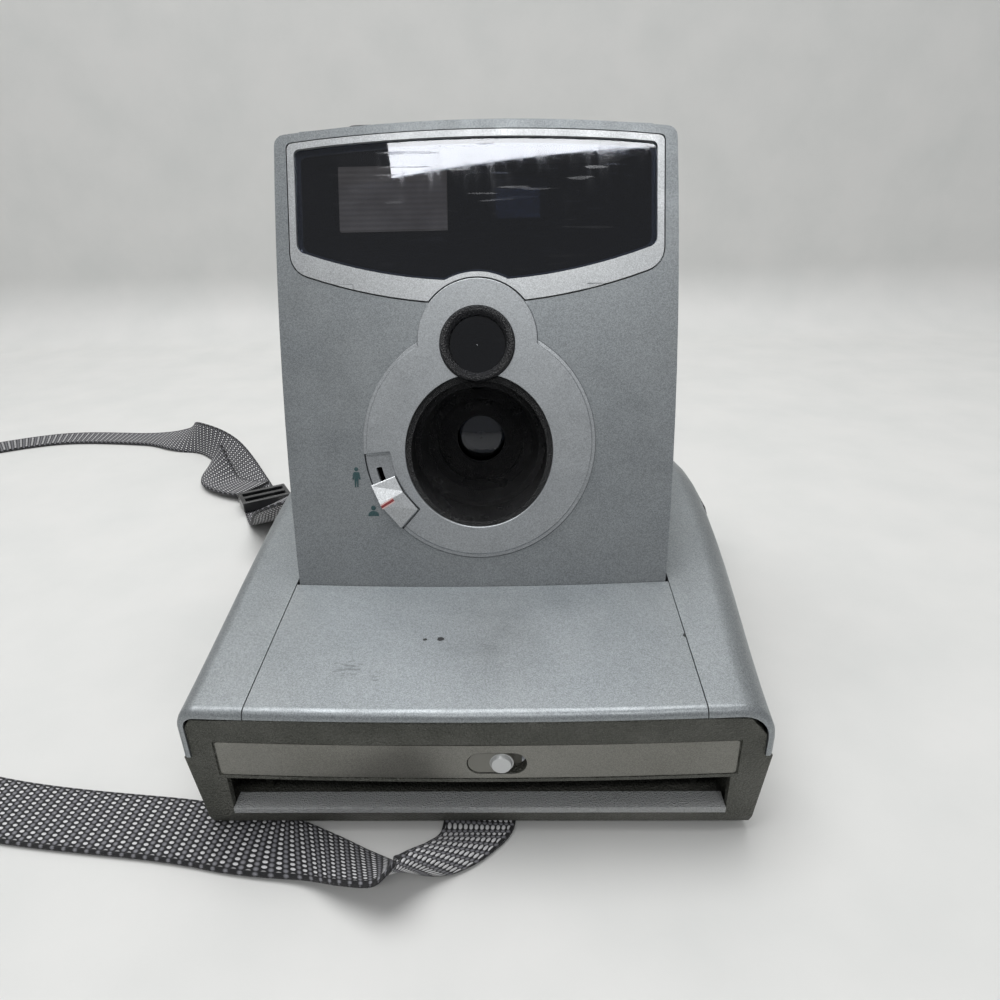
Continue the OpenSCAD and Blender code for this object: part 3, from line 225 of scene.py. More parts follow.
class Skin:
    """Collects grids and strips of points, and makes them one closed, merged piece."""

    def __init__(self) -> None:
        """Starts with no points."""
        self.points: list[Array] = []
        self.quads: list[Array] = []
        self.uvs: list[Array] = []
        self.count = 0

    def add(self, points: Array, quads: Array, uv: Array | None = None) -> "Skin":
        """Adds points with the faces between them.

        Args:
            points: nose-frame millimetres, any shape that ends in 3.
            quads: rows of 3 or 4 point numbers.
            uv: a pair for each corner of each face of 4, or None.

        Returns:
            This skin.
        """
        flat = np.asarray(points, float).reshape(-1, 3)
        quads = np.asarray(quads)
        if quads.shape[1] == 3:
            quads = np.concatenate([quads, quads[:, 2:]], 1)
        self.points.append(flat)
        self.quads.append(quads + self.count)
        self.uvs.append(np.zeros((len(quads), 4, 2)) if uv is None else uv)
        self.count += len(flat)
        return self

    def grid(self, points: Array, ringed: bool = False, uv: Array | None = None) -> "Skin":
        """Adds a grid of points, joined to its neighbours along both parameters.

        Args:
            points: an array of rows and columns of points.
            ringed: whether the last column joins the first.
            uv: an array of pairs, with one column more where the grid is ringed, or None.

        Returns:
            This skin.
        """
        rows, cols = points.shape[:2]
        i, j = np.meshgrid(np.arange(rows - 1), np.arange(cols - (not ringed)), indexing="ij")
        i, j = i.ravel(), j.ravel()
        corners = ((i, j), (i + 1, j), (i + 1, j + 1), (i, j + 1))
        quads = np.stack([a * cols + b % cols for a, b in corners], -1)
        loops = None if uv is None else np.stack([uv[a, b] for a, b in corners], 1)
        return self.add(points, quads, loops)

    def loft(self, rings: Array, uv: Array | None = None) -> "Skin":
        """Adds closed rings joined in order, each end closed in strips between the halves of its ring.

        Args:
            rings: an array of rings of points.
            uv: a pair for each point and one more in each ring, or None.

        Returns:
            This skin.
        """
        count = rings.shape[1]
        self.grid(rings, True, uv)
        half = np.arange(count // 2 - 1)
        strip = np.stack([half, half + 1, count - 2 - half, count - 1 - half], -1)
        return self.add(rings[0], strip).add(rings[-1], strip)

    def mesh(self, name: str, merge: float = 0.004) -> Mesh:
        """Makes the mesh in row-frame metres, with doubles merged and its faces turned outwards.

        Args:
            name: its name.
            merge: distance in millimetres within which points are one.

        Returns:
            The mesh.
        """
        mesh = bpy.data.meshes.new(name)
        quads = np.concatenate(self.quads)
        three = quads[:, 2] == quads[:, 3]
        faces = [*quads[~three].tolist(), *quads[three, :3].tolist()]
        mesh.from_pydata(row_m(np.concatenate(self.points)).tolist(), [], faces)
        uv = np.concatenate(self.uvs)
        layer = mesh.uv_layers.new(name="UVMap")
        layer.data.foreach_set("uv", np.concatenate([uv[~three].reshape(-1), uv[three, :3].reshape(-1)]))
        work = bmesh.new()
        work.from_mesh(mesh)
        bmesh.ops.remove_doubles(work, verts=work.verts, dist=merge * MM)
        bmesh.ops.dissolve_degenerate(work, edges=work.edges, dist=SLIVER)
        bmesh.ops.recalc_face_normals(work, faces=work.faces)
        work.to_mesh(mesh)
        work.free()
        return mesh


def placed(name: str, data: ID) -> Object:
    """Makes an object of its data and puts it into the scene."""
    made = bpy.data.objects.new(name, data)
    bpy.context.scene.collection.objects.link(made)
    return made


def finish_piece(
    name: str, mesh: Mesh, body: str, finish: "Finish", replaces: tuple[str, ...] = (), crease: float = 38.0
) -> Object:
    """Makes an object of a mesh, dresses it and ties it to its body.

    Args:
        name: the piece's name.
        mesh: its mesh, in the row frame.
        body: the CAD body that it moves with.
        finish: what it is made of.
        replaces: the CAD nodes that it stands for.
        crease: the angle in degrees above which an edge stays sharp.

    Returns:
        The new object.
    """
    piece = placed(name, mesh)
    mesh.materials.clear()
    mesh.materials.append(finish.material())
    mesh.shade_smooth()
    mesh.set_sharp_from_angle(angle=math.radians(crease))
    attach(piece, body)
    if replaces:
        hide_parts(*replaces)
    LOG.info("%s on %s", name, body)
    return piece


def weighed(piece: Object) -> Object:
    """Lets broad faces decide the shading normals, so that narrow rounded edges don't bend them."""
    weigh = piece.modifiers.new("broad_faces_first", "WEIGHTED_NORMAL")
    weigh.mode, weigh.weight, weigh.keep_sharp = "FACE_AREA", 100, True
    return piece


def eased(name: str, node: str, body: str, finish: "Finish", width: float, crease: float = 32.0) -> Object:
    """Makes a finished copy of a CAD node, whose sharp edges are eased by a small bevel.

    Args:
        name: the new piece's name.
        node: the CAD node that it copies and stands for.
        body: the CAD body that it moves with.
        finish: what it is made of.
        width: how wide the eased edge is.
        crease: the angle in degrees above which an edge is eased.

    Returns:
        The new object.
    """
    mesh = frame["nodes"][node].data.copy()
    mesh.name = name
    work = bmesh.new()
    work.from_mesh(mesh)
    bmesh.ops.remove_doubles(work, verts=work.verts, dist=SAME)
    bmesh.ops.dissolve_limit(work, angle_limit=math.radians(FLAT), verts=work.verts, edges=work.edges)
    work.to_mesh(mesh)
    work.free()
    if "sharp_face" in mesh.attributes:
        mesh.attributes.remove(mesh.attributes["sharp_face"])
    piece = finish_piece(name, mesh, body, finish, (node,), crease)
    bevel = piece.modifiers.new("eased_edges", "BEVEL")
    bevel.width = width * MM
    bevel.segments = 2
    bevel.limit_method = "ANGLE"
    bevel.angle_limit = math.radians(crease)
    bevel.miter_outer = "MITER_ARC"
    return weighed(piece)


def trued(piece: Object, normal: Callable[[Array], Array], spread: float = 10.0) -> None:
    """Sets the shading normals of a smooth face to those of the surface that its facets stand for.

    Args:
        piece: the piece, whose modifiers are worked in.
        normal: takes nose-frame points to the surface's unit normals.
        spread: corners within this angle of the surface's normal, in degrees, belong to the face.
    """
    graph = bpy.context.evaluated_depsgraph_get()
    mesh = bpy.data.meshes.new_from_object(piece.evaluated_get(graph))
    piece.modifiers.clear()
    piece.data = mesh
    normals = np.empty((len(mesh.loops), 3), np.float32)
    places = np.empty((len(mesh.vertices), 3), np.float32)
    corner = np.empty(len(mesh.loops), np.int32)
    mesh.corner_normals.foreach_get("vector", normals.reshape(-1))
    mesh.vertices.foreach_get("co", places.reshape(-1))
    mesh.loops.foreach_get("vertex_index", corner)
    ideal = normal(places[corner] / MM - NOSE)
    close = (normals * ideal).sum(1) > math.cos(math.radians(spread))
    mesh.normals_split_custom_set(np.where(close[:, None], ideal, normals).tolist())


@dataclass
class Loop:
    """One closed edge of a plate: its outline, anticlockwise, and the section that runs round it.

    The section is rows of (distance in from the outline, height), from the front face to the back face.
    Around a hole the distance runs outwards, away from the hole.
    """

    outline: Array
    section: Array
    hole: bool = False

    def at(self, row: int) -> tuple[Array, float]:
        """The outline shifted by one row of the section, each point along the bisector of its two edges.

        Args:
            row: the number of the row.

        Returns:
            The shifted outline and its height.
        """
        inset, height = self.section[row]
        ahead = unit(np.roll(self.outline, -1, 0) - self.outline)
        left = np.stack([-ahead[:, 1], ahead[:, 0]], 1)
        mitre = left + np.roll(left, 1, 0)
        mitre /= np.maximum((mitre * left).sum(1), MITRE)[:, None]
        return self.outline + (-inset if self.hole else inset) * mitre, height


def inside(points: Array, outline: Array) -> Array:
    """Whether points lie in an outline: the parity of its edges crossed by a ray along x.

    Args:
        points: rows of two numbers.
        outline: the corners in order.

    Returns:
        A truth for each point.
    """
    ax, ay = outline.T
    bx, by = np.roll(outline, -1, 0).T
    px, py = points[:, :1], points[:, 1:2]
    spans = (ay > py) != (by > py)
    cross = ax + (py - ay) * (bx - ax) / np.where(by == ay, 1, by - ay)
    return (spans & (px < cross)).sum(1) % 2 == 1


def filled(outlines: list[Array], spacing: float) -> tuple[Array, Array]:
    """Triangles between outlines, over their points and a square grid of points at a spacing.

    Args:
        outlines: the outer one first.
        spacing: the grid's.

    Returns:
        The points, and three of their numbers for each triangle.
    """
    low, high = outlines[0].min(0), outlines[0].max(0)
    axes = [np.arange(a + spacing / 2, b, spacing) for a, b in zip(low, high)]
    inner = np.stack(np.meshgrid(*axes), -1).reshape(-1, 2)
    keep = np.sum([inside(inner, line) for line in outlines], 0) == 1
    edge = np.concatenate(outlines)
    inner = inner[keep]
    inner = inner[[np.min(np.hypot(*(edge - p).T)) > spacing * 0.5 for p in inner]]
    starts = np.cumsum([0] + [len(line) for line in outlines])
    rings = [np.arange(a, b) for a, b in zip(starts, starts[1:])]
    edges = [np.stack([ring, np.roll(ring, -1)], 1) for ring in rings]
    knots, links = np.concatenate([edge, inner]).tolist(), np.concatenate(edges).tolist()
    points, _, faces = delaunay_2d_cdt(knots, links, [], 0, TOUCH)[:3]
    points, faces = np.array([tuple(p) for p in points]), np.array(faces)
    middle = points[faces].mean(1)
    return points, faces[np.sum([inside(middle, line) for line in outlines], 0) == 1]


def plate(
    loops: list[Loop], lift: Callable[[Array, Array, Array], Array], spacing: float, skin: Skin | None = None
) -> Skin:
    """Makes a closed plate: a section carried round each outline, and both faces filled between them.

    Args:
        loops: the outline first, then its holes.
        lift: takes x, the distance up and the height out of the plane to nose-frame points.
        spacing: distance of the points inside the faces.
        skin: a skin to add the plate to, or None for a new one.

    Returns:
        The plate's skin.
    """
    skin = skin or Skin()
    for loop in loops:
        rows = [loop.at(k) for k in range(len(loop.section))]
        skin.grid(np.stack([lift(p[:, 0], p[:, 1], np.full(len(p), h)) for p, h in rows]), True)
    for row in (0, -1):
        points, faces = filled([loop.at(row)[0] for loop in loops], spacing)
        height = loops[0].at(row)[1]
        skin.add(lift(points[:, 0], points[:, 1], np.full(len(points), height)), faces)
    return skin


def arc(x: float, up: float, radius: float, start: float, end: float, steps: int) -> Array:
    """Points along a circle between two angles in degrees, as rows of two numbers."""
    angle = np.radians(np.linspace(start, end, steps + 1))
    return np.stack([x + radius * np.cos(angle), up + radius * np.sin(angle)], 1)


# ---------------------------------------------------------------- finishes


def linear(tone: str, factor: float = 1.0) -> Four:
    """Linear colour of an sRGB hex code, times a factor: a straight foot, and a power of 2.4 above it.

    Args:
        tone: the hex code.
        factor: what the three channels are multiplied by, up to 1.

    Returns:
        Red, green, blue and an alpha of 1.
    """
    channels = np.array([int(tone[k : k + 2], 16) for k in (1, 3, 5)]) / 255
    light = np.where(channels <= 0.04045, channels / 12.92, ((channels + 0.055) / 1.055) ** 2.4)
    return (*(min(float(c) * factor, 1.0) for c in light), 1.0)


def per_mm(size: float) -> float:
    """Scale of a texture whose pattern is about so many millimetres wide."""
    return 1 / (size * MM)


class Recipe:
    """Adds and joins the nodes of a material or a world. Sizes are millimetres on the real thing."""

    def __init__(self, owner: ID) -> None:
        """Empties the owner's node tree."""
        owner.use_nodes = True
        self.tree = owner.node_tree
        self.tree.nodes.clear()

    @cached_property
    def here(self) -> NodeSocket:
        """The object's own coordinates."""
        return self.add("TexCoord").outputs["Object"]

    def add(self, kind: str, *inputs: object, **named: object) -> Node:
        """Adds a node with its settings and links.

        Args:
            kind: its type without the common start and, after a point, its operation or data type. Capitals
                alone are an operation in arithmetic.
            inputs: values for its inputs in order: a constant, a colour's hex code, a socket, or a node for
                its first output.
            named: the node's own settings, or inputs by their names in small letters.

        Returns:
            The node.
        """
        kind, mode = ("Math", kind) if kind.isupper() else kind.partition(".")[::2]
        node = self.tree.nodes.new("ShaderNode" + kind)
        if mode:
            setattr(node, "data_type" if kind == "Mix" else "operation", mode)
        titled = {socket.name.replace(" ", "_").lower(): socket for socket in reversed(node.inputs)}
        pairs = list(zip([socket for socket in node.inputs if socket.enabled], inputs))
        for key, value in named.items():
            if key in titled:
                pairs.append((titled[key], value))
            else:
                setattr(node, key, value)
        for socket, value in pairs:
            if isinstance(value, Node):
                value = next(output for output in value.outputs if output.enabled)
            if isinstance(value, NodeSocket):
                self.tree.links.new(value, socket)
            else:
                socket.default_value = linear(value) if isinstance(value, str) else value
        return node

    def clouds(
        self, size: float, detail: float, low: float, high: float, start: float = 0.0, end: float = 1.0,
        stretch: Triple | None = None,
    ) -> Node:  # fmt: skip
        """Noise of a size, stretched, whose range from low to high becomes start to end and is held there."""
        where = self.add("Mapping", self.here, scale=stretch) if stretch else self.here
        return self.add("MapRange", self.add("TexNoise", where, per_mm(size), detail), low, high, start, end)

    def specks(self, size: float, rim: float, core: float, most: float = 1.0) -> Node:
        """Dots in cells of a size: nothing outside the rim's share of a cell, most inside the core's."""
        return self.add("MapRange", self.add("TexVoronoi", self.here, per_mm(size)), rim, core, 0.0, most)

    def near(self, x: float, y: float, z: float, radius: float, ragged: float = 0.5) -> Node:
        """One inside a ragged spot of a radius round a nose-frame point, and nothing outside it.

        Args:
            x, y, z: the point.
            radius: the spot's radius.
            ragged: how far its edge strays, as a share of the radius.

        Returns:
            The last node.
        """
        centre = tuple(float(c) for c in row_m(np.array([x, y, z])))
        gap = self.add("VectorMath.DISTANCE", self.here, centre)
        edge = self.add("TexNoise", self.here, per_mm(radius * 0.9), 4.0)
        worn = self.add("MULTIPLY_ADD", edge, ragged * 2 * radius * MM, gap)
        return self.add("MapRange", worn, radius * MM * (0.72 + ragged), radius * MM * (0.66 + ragged))


class Slot(Enum):
    """The record's slots. Printed ink has none."""

    SILVER = "silver_shell"
    TRIM = "bright_trim"
    DARK = "dark_moulding"
    BLACK = "black_moulding"
    SOFT = "soft_black"
    CLEAR = "clear_optic"
    MIRROR = "mirror_glass"
    STEEL = "bare_steel"
    SHEET = "blackened_sheet"
    REFLECTOR = "reflector"
    GEAR = "gear_polymer"
    BRASS = "contact_brass"
    BOARD = "board"
    SLEEVE = "capacitor_sleeve"
    WEBBING = "webbing"
    ADJUSTER = "adjuster"
    INK = ""


MADE: dict["Finish", Material] = {}


@dataclass(frozen=True)
class Finish:
    """What a piece is made of: its slot in the record, its colour and how rough it is."""

    slot: Slot
    tone: str
    rough: float = 0.5

    def recipe(self, r: Recipe) -> Node:
        """Adds the nodes up to the shader, which it returns."""
        raise NotImplementedError

    def material(self) -> Material:
        """The finish's material, made once."""
        if self not in MADE:
            made = bpy.data.materials.new(f"{self.slot.value or 'ink'}_{len(MADE)}")
            r = Recipe(made)
            r.add("OutputMaterial", self.recipe(r))
            MADE[self] = made
        return MADE[self]


@dataclass(frozen=True)
class SilverPaint(Finish):
    """Metallic paint: aluminium flakes in a satin lacquer over a moulded shell, with chips and scuffs.

    Each chip or scuff is a nose-frame point and a radius.
    """

    flake: float = 0.22
    chips: tuple[Four, ...] = ()
    scuffs: tuple[Four, ...] = ()
    metallic: float = 0.75

    def recipe(self, r: Recipe) -> Node:
        """Flakes of random brightness, an orange-peel relief, a film of dust, chips down to the plastic."""
        shine = r.add("SeparateColor", r.add("TexVoronoi", r.here, per_mm(self.flake)).outputs["Color"])
        colour = r.add("Mix.RGBA", shine, linear(self.tone, 0.74), linear(self.tone, 1.24))
        colour = r.add("Mix.RGBA", r.clouds(26, 3, 0.35, 0.8, 0.0, 0.10), colour, "#c9cac7")
        peel = r.add("Bump", height=r.add("TexNoise", r.here, per_mm(1.3), 2), distance=0.008 * MM)
        relief = r.add("Bump", height=shine, distance=0.004 * MM, strength=0.5, normal=peel)
        metal, chipped, scuffed = self.metallic, 0.0, 0.0
        for spot in self.scuffs:
            streaks = r.clouds(1.1, 4, 0.5, 0.62, stretch=(0.35, 1.4, 1.0))
            streaked = r.add("MULTIPLY", r.near(*spot, 0.8), streaks)
            scuffed = r.add("MAXIMUM", streaked, scuffed)
        if self.scuffs:
            colour = r.add("Mix.RGBA", r.add("MULTIPLY", scuffed, 0.45), colour, "#55585a")
        for spot in self.chips:
            chipped = r.add("MAXIMUM", r.near(*spot), chipped)
        if self.chips:
            colour = r.add("Mix.RGBA", chipped, colour, "#1f2022")
            sunk = r.add("MULTIPLY", chipped, -1.0)
            relief = r.add("Bump", height=sunk, distance=0.12 * MM, normal=relief)
            metal = r.add("SUBTRACT", self.metallic, chipped)
        rough = r.clouds(9, 4, 0.3, 0.7, self.rough - 0.05, self.rough + 0.06)
        return r.add("BsdfPrincipled", base_color=colour, metallic=metal, roughness=rough, normal=relief)


@dataclass(frozen=True)
class Moulding(Finish):
    """Injection-moulded ABS, matt from a spark-eroded mould, with fine dust and a little handling wear."""

    grain: float = 0.35
    dust: float = 0.12

    def recipe(self, r: Recipe) -> Node:
        """A pebbled relief of the grain's size, pale dust in clouds and specks, and polished patches."""
        cells = r.add("MULTIPLY", r.add("TexVoronoi", r.here, per_mm(self.grain * 1.6)), 60.0)
        pebble = r.add("ADD", r.add("TexNoise", r.here, per_mm(self.grain), 3), cells)
        film = r.clouds(14, 5, 0.42, 0.75, 0.0, self.dust)
        colour = r.add("Mix.RGBA", film, self.tone, "#a6a49e")
        specks = r.add("MULTIPLY", r.specks(2.2, 0.028, 0.02), self.dust * 2.5)
        colour = r.add("Mix.RGBA", specks, colour, "#c8c5be")
        mottle = r.clouds(self.grain * 2, 2, 0.35, 0.65, 0.0, 0.10)
        colour = r.add("Mix.RGBA", mottle, colour, "#000000")
        rough = r.clouds(11, 4, 0.3, 0.7, self.rough - 0.07, self.rough + 0.07)
        relief = r.add("Bump", height=pebble, distance=0.014 * MM, strength=0.7)
        return r.add("BsdfPrincipled", base_color=colour, roughness=rough, normal=relief)


@dataclass(frozen=True)
class Latch(Moulding):
    """ABS latch moulded in the door's grey, whose round thumb knob is painted silver."""

    knob: Four = (6.5, 0.6, 24.8, 4.3)

    def recipe(self, r: Recipe) -> Node:
        """Silver within the knob's radius, satin grey outside it, over a very fine grain."""
        knob = r.near(*self.knob, 0.0)
        colour = r.add("Mix.RGBA", knob, self.tone, "#c9cbcb")
        metal = r.add("MULTIPLY", knob, 0.5)
        relief = r.add("Bump", height=r.add("TexNoise", r.here, per_mm(self.grain), 2), distance=0.01 * MM)
        return r.add("BsdfPrincipled", base_color=colour, metallic=metal, roughness=self.rough, normal=relief)


@dataclass(frozen=True)
class Optic(Finish):
    """Clear acrylic or glass, polished and coated, with a little dust and wipe marks."""

    haze: float = 0.02
    index: float = 1.5

    def recipe(self, r: Recipe) -> Node:
        """A clear body with a faint tint: a reflecting front by Fresnel over a see-through body.

        At a back face the index is turned over, so that the body's two faces reflect alike.
        """
        wiped = r.clouds(3.0, 4, 0.45, 0.8, self.haze, self.haze + 0.06, (1.0, 0.25, 0.25))
        hair = r.clouds(2.2, 1, 0.66, 0.70, 0.0, 0.10, (0.12, 1.5, 1.5))
        rough = r.add("ADD", wiped, hair)
        shine = r.add("BsdfPrincipled", base_color="#f2f4f8", metallic=1.0, roughness=rough)
        behind = r.add("NewGeometry").outputs["Backfacing"]
        bend = r.add("MULTIPLY_ADD", behind, 1 / self.index - self.index, self.index)
        dust = r.add("MULTIPLY", r.specks(3.0, 0.022, 0.014), 0.5)
        share = r.add("MAXIMUM", r.add("MULTIPLY", r.add("Fresnel", bend), 1.25), dust)
        return r.add("MixShader", share, r.add("BsdfTransparent", self.tone), shine)


@dataclass(frozen=True)
class Ribbed(Finish):
    """Acrylic flash window, moulded with fine level ribs over a warm, hazy body, glowing as painted light."""

    pitch: float = 1.5
    # strength of the painted light that the window glows with
    glow: float = 1.0

    def recipe(self, r: Recipe) -> Node:
        """A saw of fine ribs up the window, in the relief and as painted shade in the colour, over warm clouds
        that glow as painted light.
        """
        up = r.add("SeparateXYZ", r.here).outputs["Z"]
        rib = r.add("PINGPONG", r.add("MULTIPLY", up, per_mm(self.pitch)), 0.5)
        colour = r.add("Mix.RGBA", r.clouds(12, 3, 0.35, 0.7), self.tone, "#8c8377")
        # painted shade: the colour darkens towards one side of each rib
        colour = r.add("Mix.RGBA", r.add("MapRange", rib, 0.0, 0.5, 0.0, 0.35), colour, "#4a443e")
        relief = r.add("Bump", height=rib, distance=0.12 * MM, strength=0.5)
        # painted light: the window glows in its own colour, standing in for light that doesn't reach it
        return r.add(
            "BsdfPrincipled", base_color=colour, roughness=self.rough, normal=relief, coat_weight=0.6,
            coat_roughness=0.05, emission_color=colour, emission_strength=self.glow,
        )  # fmt: skip


@dataclass(frozen=True)
class Metal(Finish):
    """Metal with a drawn, ground or plated face: fine lines along one direction, and smudges."""

    lines: Triple = (0.05, 1.0, 1.0)
    metallic: float = 1.0
    depth: float = 0.006

    def recipe(self, r: Recipe) -> Node:
        """Stretched noise for the drawn lines, in relief and roughness, under tarnish in clouds."""
        drawn = r.add("TexNoise", r.add("Mapping", r.here, scale=self.lines), per_mm(0.25), 3)
        tarnish = r.clouds(7, 5, 0.4, 0.75, 0.0, 0.5)
        colour = r.add("Mix.RGBA", tarnish, self.tone, linear(self.tone, 0.7))
        ground = r.add("MapRange", drawn, 0.3, 0.7, self.rough - 0.06, self.rough + 0.06)
        rough = r.add("ADD", ground, r.clouds(5, 3, 0.5, 0.8, 0.0, 0.08))
        relief = r.add("Bump", height=drawn, distance=self.depth * MM, strength=0.6)
        metal = self.metallic
        return r.add("BsdfPrincipled", base_color=colour, metallic=metal, roughness=rough, normal=relief)


@dataclass(frozen=True)
class Mirror(Finish):
    """Float glass silvered at the front: a bright, smooth face with a few specks of dust."""

    def recipe(self, r: Recipe) -> Node:
        """A polished metal with specks and a slight waviness."""
        specks = r.specks(4.0, 0.02, 0.012)
        colour = r.add("Mix.RGBA", specks, self.tone, "#6f706e")
        rough = r.add("MULTIPLY_ADD", specks, 0.4, self.rough)
        relief = r.add("Bump", height=r.add("TexNoise", r.here, per_mm(20), 1), distance=0.003 * MM)
        return r.add("BsdfPrincipled", base_color=colour, metallic=1.0, roughness=rough, normal=relief)


@dataclass(frozen=True)
class GearPolymer(Finish):
    """Acetal, moulded for gears and dials: waxy, slightly see-through, with flow marks and some grease."""

    def recipe(self, r: Recipe) -> Node:
        """Flow lines in the relief, warm clouds in the colour, and some light carried under the surface."""
        flow = r.add("TexNoise", r.add("Mapping", r.here, scale=(1.0, 0.3, 1.0)), per_mm(2.5), 4)
        warm = r.add("MapRange", flow, 0.4, 0.7, 0.0, 0.25)
        return r.add(
            "BsdfPrincipled", base_color=r.add("Mix.RGBA", warm, self.tone, "#cbbf9a"),
            roughness=r.clouds(3, 3, 0.4, 0.7, self.rough, self.rough - 0.2), subsurface_weight=0.08,
            subsurface_scale=0.001, normal=r.add("Bump", height=flow, distance=0.01 * MM),
        )  # fmt: skip


@dataclass(frozen=True)
class Board(Finish):
    """Glass-fibre circuit board: a green mask over copper tracks, with tinned pads."""

    def recipe(self, r: Recipe) -> Node:
        """Tracks as a grid of bricks, pads as cells, both slightly raised under the mask."""
        flat = r.add("Mapping", r.here, rotation=(math.pi / 2, 0.0, 0.0))
        tracks = r.add("TexBrick", flat, scale=per_mm(6), mortar_size=0.06, mortar_smooth=0.2).outputs[1]
        pads = r.add("MapRange", r.add("TexVoronoi", flat, per_mm(4.0)), 0.2, 0.16)
        colour = r.add("Mix.RGBA", tracks, self.tone, "#567a4e")
        colour = r.add("Mix.RGBA", pads, colour, "#b9bbb4")
        metal = r.add("MULTIPLY", pads, 0.9)
        relief = r.add("Bump", height=r.add("MAXIMUM", tracks, pads), distance=0.04 * MM)
        return r.add("BsdfPrincipled", base_color=colour, metallic=metal, roughness=self.rough, normal=relief)


@dataclass(frozen=True)
class Sleeve(Finish):
    """Heat-shrunk vinyl or gloss moulding: smooth and dark, with faint folds along it."""

    def recipe(self, r: Recipe) -> Node:
        """Stretched noise for the folds, with a coat over it and a little dust."""
        folds = r.add("TexNoise", r.add("Mapping", r.here, scale=(0.15, 1.0, 1.0)), per_mm(1.2), 2)
        dust = r.clouds(6, 5, 0.5, 0.8, 0.0, 0.12)
        return r.add(
            "BsdfPrincipled", base_color=r.add("Mix.RGBA", dust, self.tone, "#8a8a88"),
            roughness=self.rough, coat_weight=0.3, coat_roughness=0.1,
            normal=r.add("Bump", height=folds, distance=0.03 * MM),
        )  # fmt: skip


@dataclass(frozen=True)
class Print(Finish):
    """Pad-printed ink on paint: flat, slightly glossy, thin at its edges."""

    def recipe(self, r: Recipe) -> Node:
        """One ink with tiny pinholes and a faint mottle."""
        mottle = r.clouds(0.4, 3, 0.35, 0.7, 0.0, 0.18)
        thin = r.add("ADD", r.specks(0.5, 0.06, 0.03, 0.5), mottle)
        colour = r.add("Mix.RGBA", thin, self.tone, "#7f8486")
        relief = r.add("Bump", height=mottle, distance=0.004 * MM)
        return r.add("BsdfPrincipled", base_color=colour, roughness=self.rough, normal=relief)


@dataclass(frozen=True)
class Webbing(Finish):
    """Woven polypropylene webbing: black warp with rows of grey bumps, crossed by floats of white yarn.

    Its rows run along the strap from its own map, u across and v along, in metres. On one face each row is a
    line of white ovals; on the other, long slanted stitches that read as light stripes. Between the rows lie
    grey twill ribs, then a black gap. Fine noise stands for fibres.
    """

    row: float = 3.2
    stitch: float = 1.45
    ribs: float = 5.0
    hem: Pair = (1.1, 0.8)

    def recipe(self, r: Recipe) -> Node:
        """Ovals as the sum of two squares, of the place in a row and of the place in a stitch."""
        uv = r.add("SeparateXYZ", r.add("UVMap", uv_map="UVMap"))
        back = r.add("GREATER_THAN", uv, 0.05)
        across = r.add("MULTIPLY_ADD", back, -0.1, uv)
        skewed = r.add("MULTIPLY_ADD", across, 0.10, uv.outputs["Y"])
        row = r.add("FRACT", r.add("MULTIPLY", skewed, per_mm(self.row)))
        stitch = r.add("MULTIPLY", across, per_mm(self.stitch))
        drift = r.add("MULTIPLY_ADD", r.add("MULTIPLY", row, back), 0.5, stitch)
        tall = r.add("MULTIPLY_ADD", back, -1.6, 4.3)
        wide = r.add("MULTIPLY_ADD", back, -0.45, 2.9)
        cell, other_cell = (r.add("FRACT", r.add("ADD", drift, shift)) for shift in (0.0, 0.5))
        squares = []
        for place, middle, stretch in (
            (row, 0.3, tall), (cell, 0.5, wide), (row, 0.78, self.ribs), (other_cell, 0.5, 2.3),
        ):  # fmt: skip
            gap = r.add("MULTIPLY", r.add("SUBTRACT", place, middle), stretch)
            squares.append(r.add("MULTIPLY", gap, gap))
        oval, other = (r.add("ADD", *squares[k : k + 2]) for k in (0, 2))
        bump = r.add("MapRange", other, 1.25, 0.0)
        edge = r.add("ABSOLUTE", r.add("SUBTRACT", across, S.strap_w * MM / 2))
        selvedge = r.add("MapRange", edge, *((S.strap_w / 2 - inset) * MM for inset in self.hem))
        white = r.add("MapRange", oval, 0.9, 0.55)
        inner = r.add("MULTIPLY", white, r.add("SUBTRACT", 1.0, selvedge))
        fibre = r.add("TexNoise", r.here, per_mm(0.18), 2)
        colour = r.add("Mix.RGBA", bump, "#101013", self.tone)
        colour = r.add("Mix.RGBA", inner, colour, "#e4e4e6")
        colour = r.add("Mix.RGBA", r.add("MapRange", fibre, 0.3, 0.75, 0.0, 0.35), colour, "#2a2a2e")
        dome = r.add("MapRange", oval, 1.3, 0.0)
        height = r.add("MAXIMUM", dome, r.add("MULTIPLY", bump, 0.8))
        height = r.add("ADD", height, r.add("MULTIPLY", fibre, 0.25))
        return r.add(
            "BsdfPrincipled", base_color=colour, roughness=self.rough, sheen_weight=0.08,
            normal=r.add("Bump", height=height, distance=0.32 * MM),
        )  # fmt: skip


SHELL = SilverPaint(Slot.SILVER, "#92979a", 0.42)
DECK = SilverPaint(
    Slot.SILVER, "#92979a", 0.42,
    chips=(
        (-14.2, 27.5, 42.8, 0.8), (-10.1, 27.6, 42.8, 1.3), (56.0, 28.5, 42.9, 1.3), (56.8, 25.0, 42.8, 0.8),
    ),
    scuffs=((-33.7, 17.0, 42.2, 5.0), (-25.0, 14.0, 42.0, 3.0)),
)  # fmt: skip
LABEL = SilverPaint(Slot.DARK, "#7d7c76", 0.4, 0.15)
RING = SilverPaint(Slot.TRIM, "#a8acaf", 0.4, 0.18)
TRIM = SilverPaint(Slot.TRIM, "#bfc2c4", 0.38, 0.18)
GUIDE = Moulding(Slot.TRIM, "#b4b6b6", 0.42, 0.25, 0.05)
LATCH = Latch(Slot.TRIM, "#77766f", 0.42)
DARK = Moulding(Slot.DARK, "#4f5049", 0.5, 0.4, 0.16)
BLACK = Moulding(Slot.BLACK, "#131419", 0.42, 0.3, 0.05)
INNER = Moulding(Slot.BLACK, "#090a0d", 0.3, 0.2, 0.02)
RUBBER = Moulding(Slot.SOFT, "#1a1a1c", 0.72, 0.5, 0.14)
GLASS = Optic(Slot.CLEAR, "#e4e8ef")
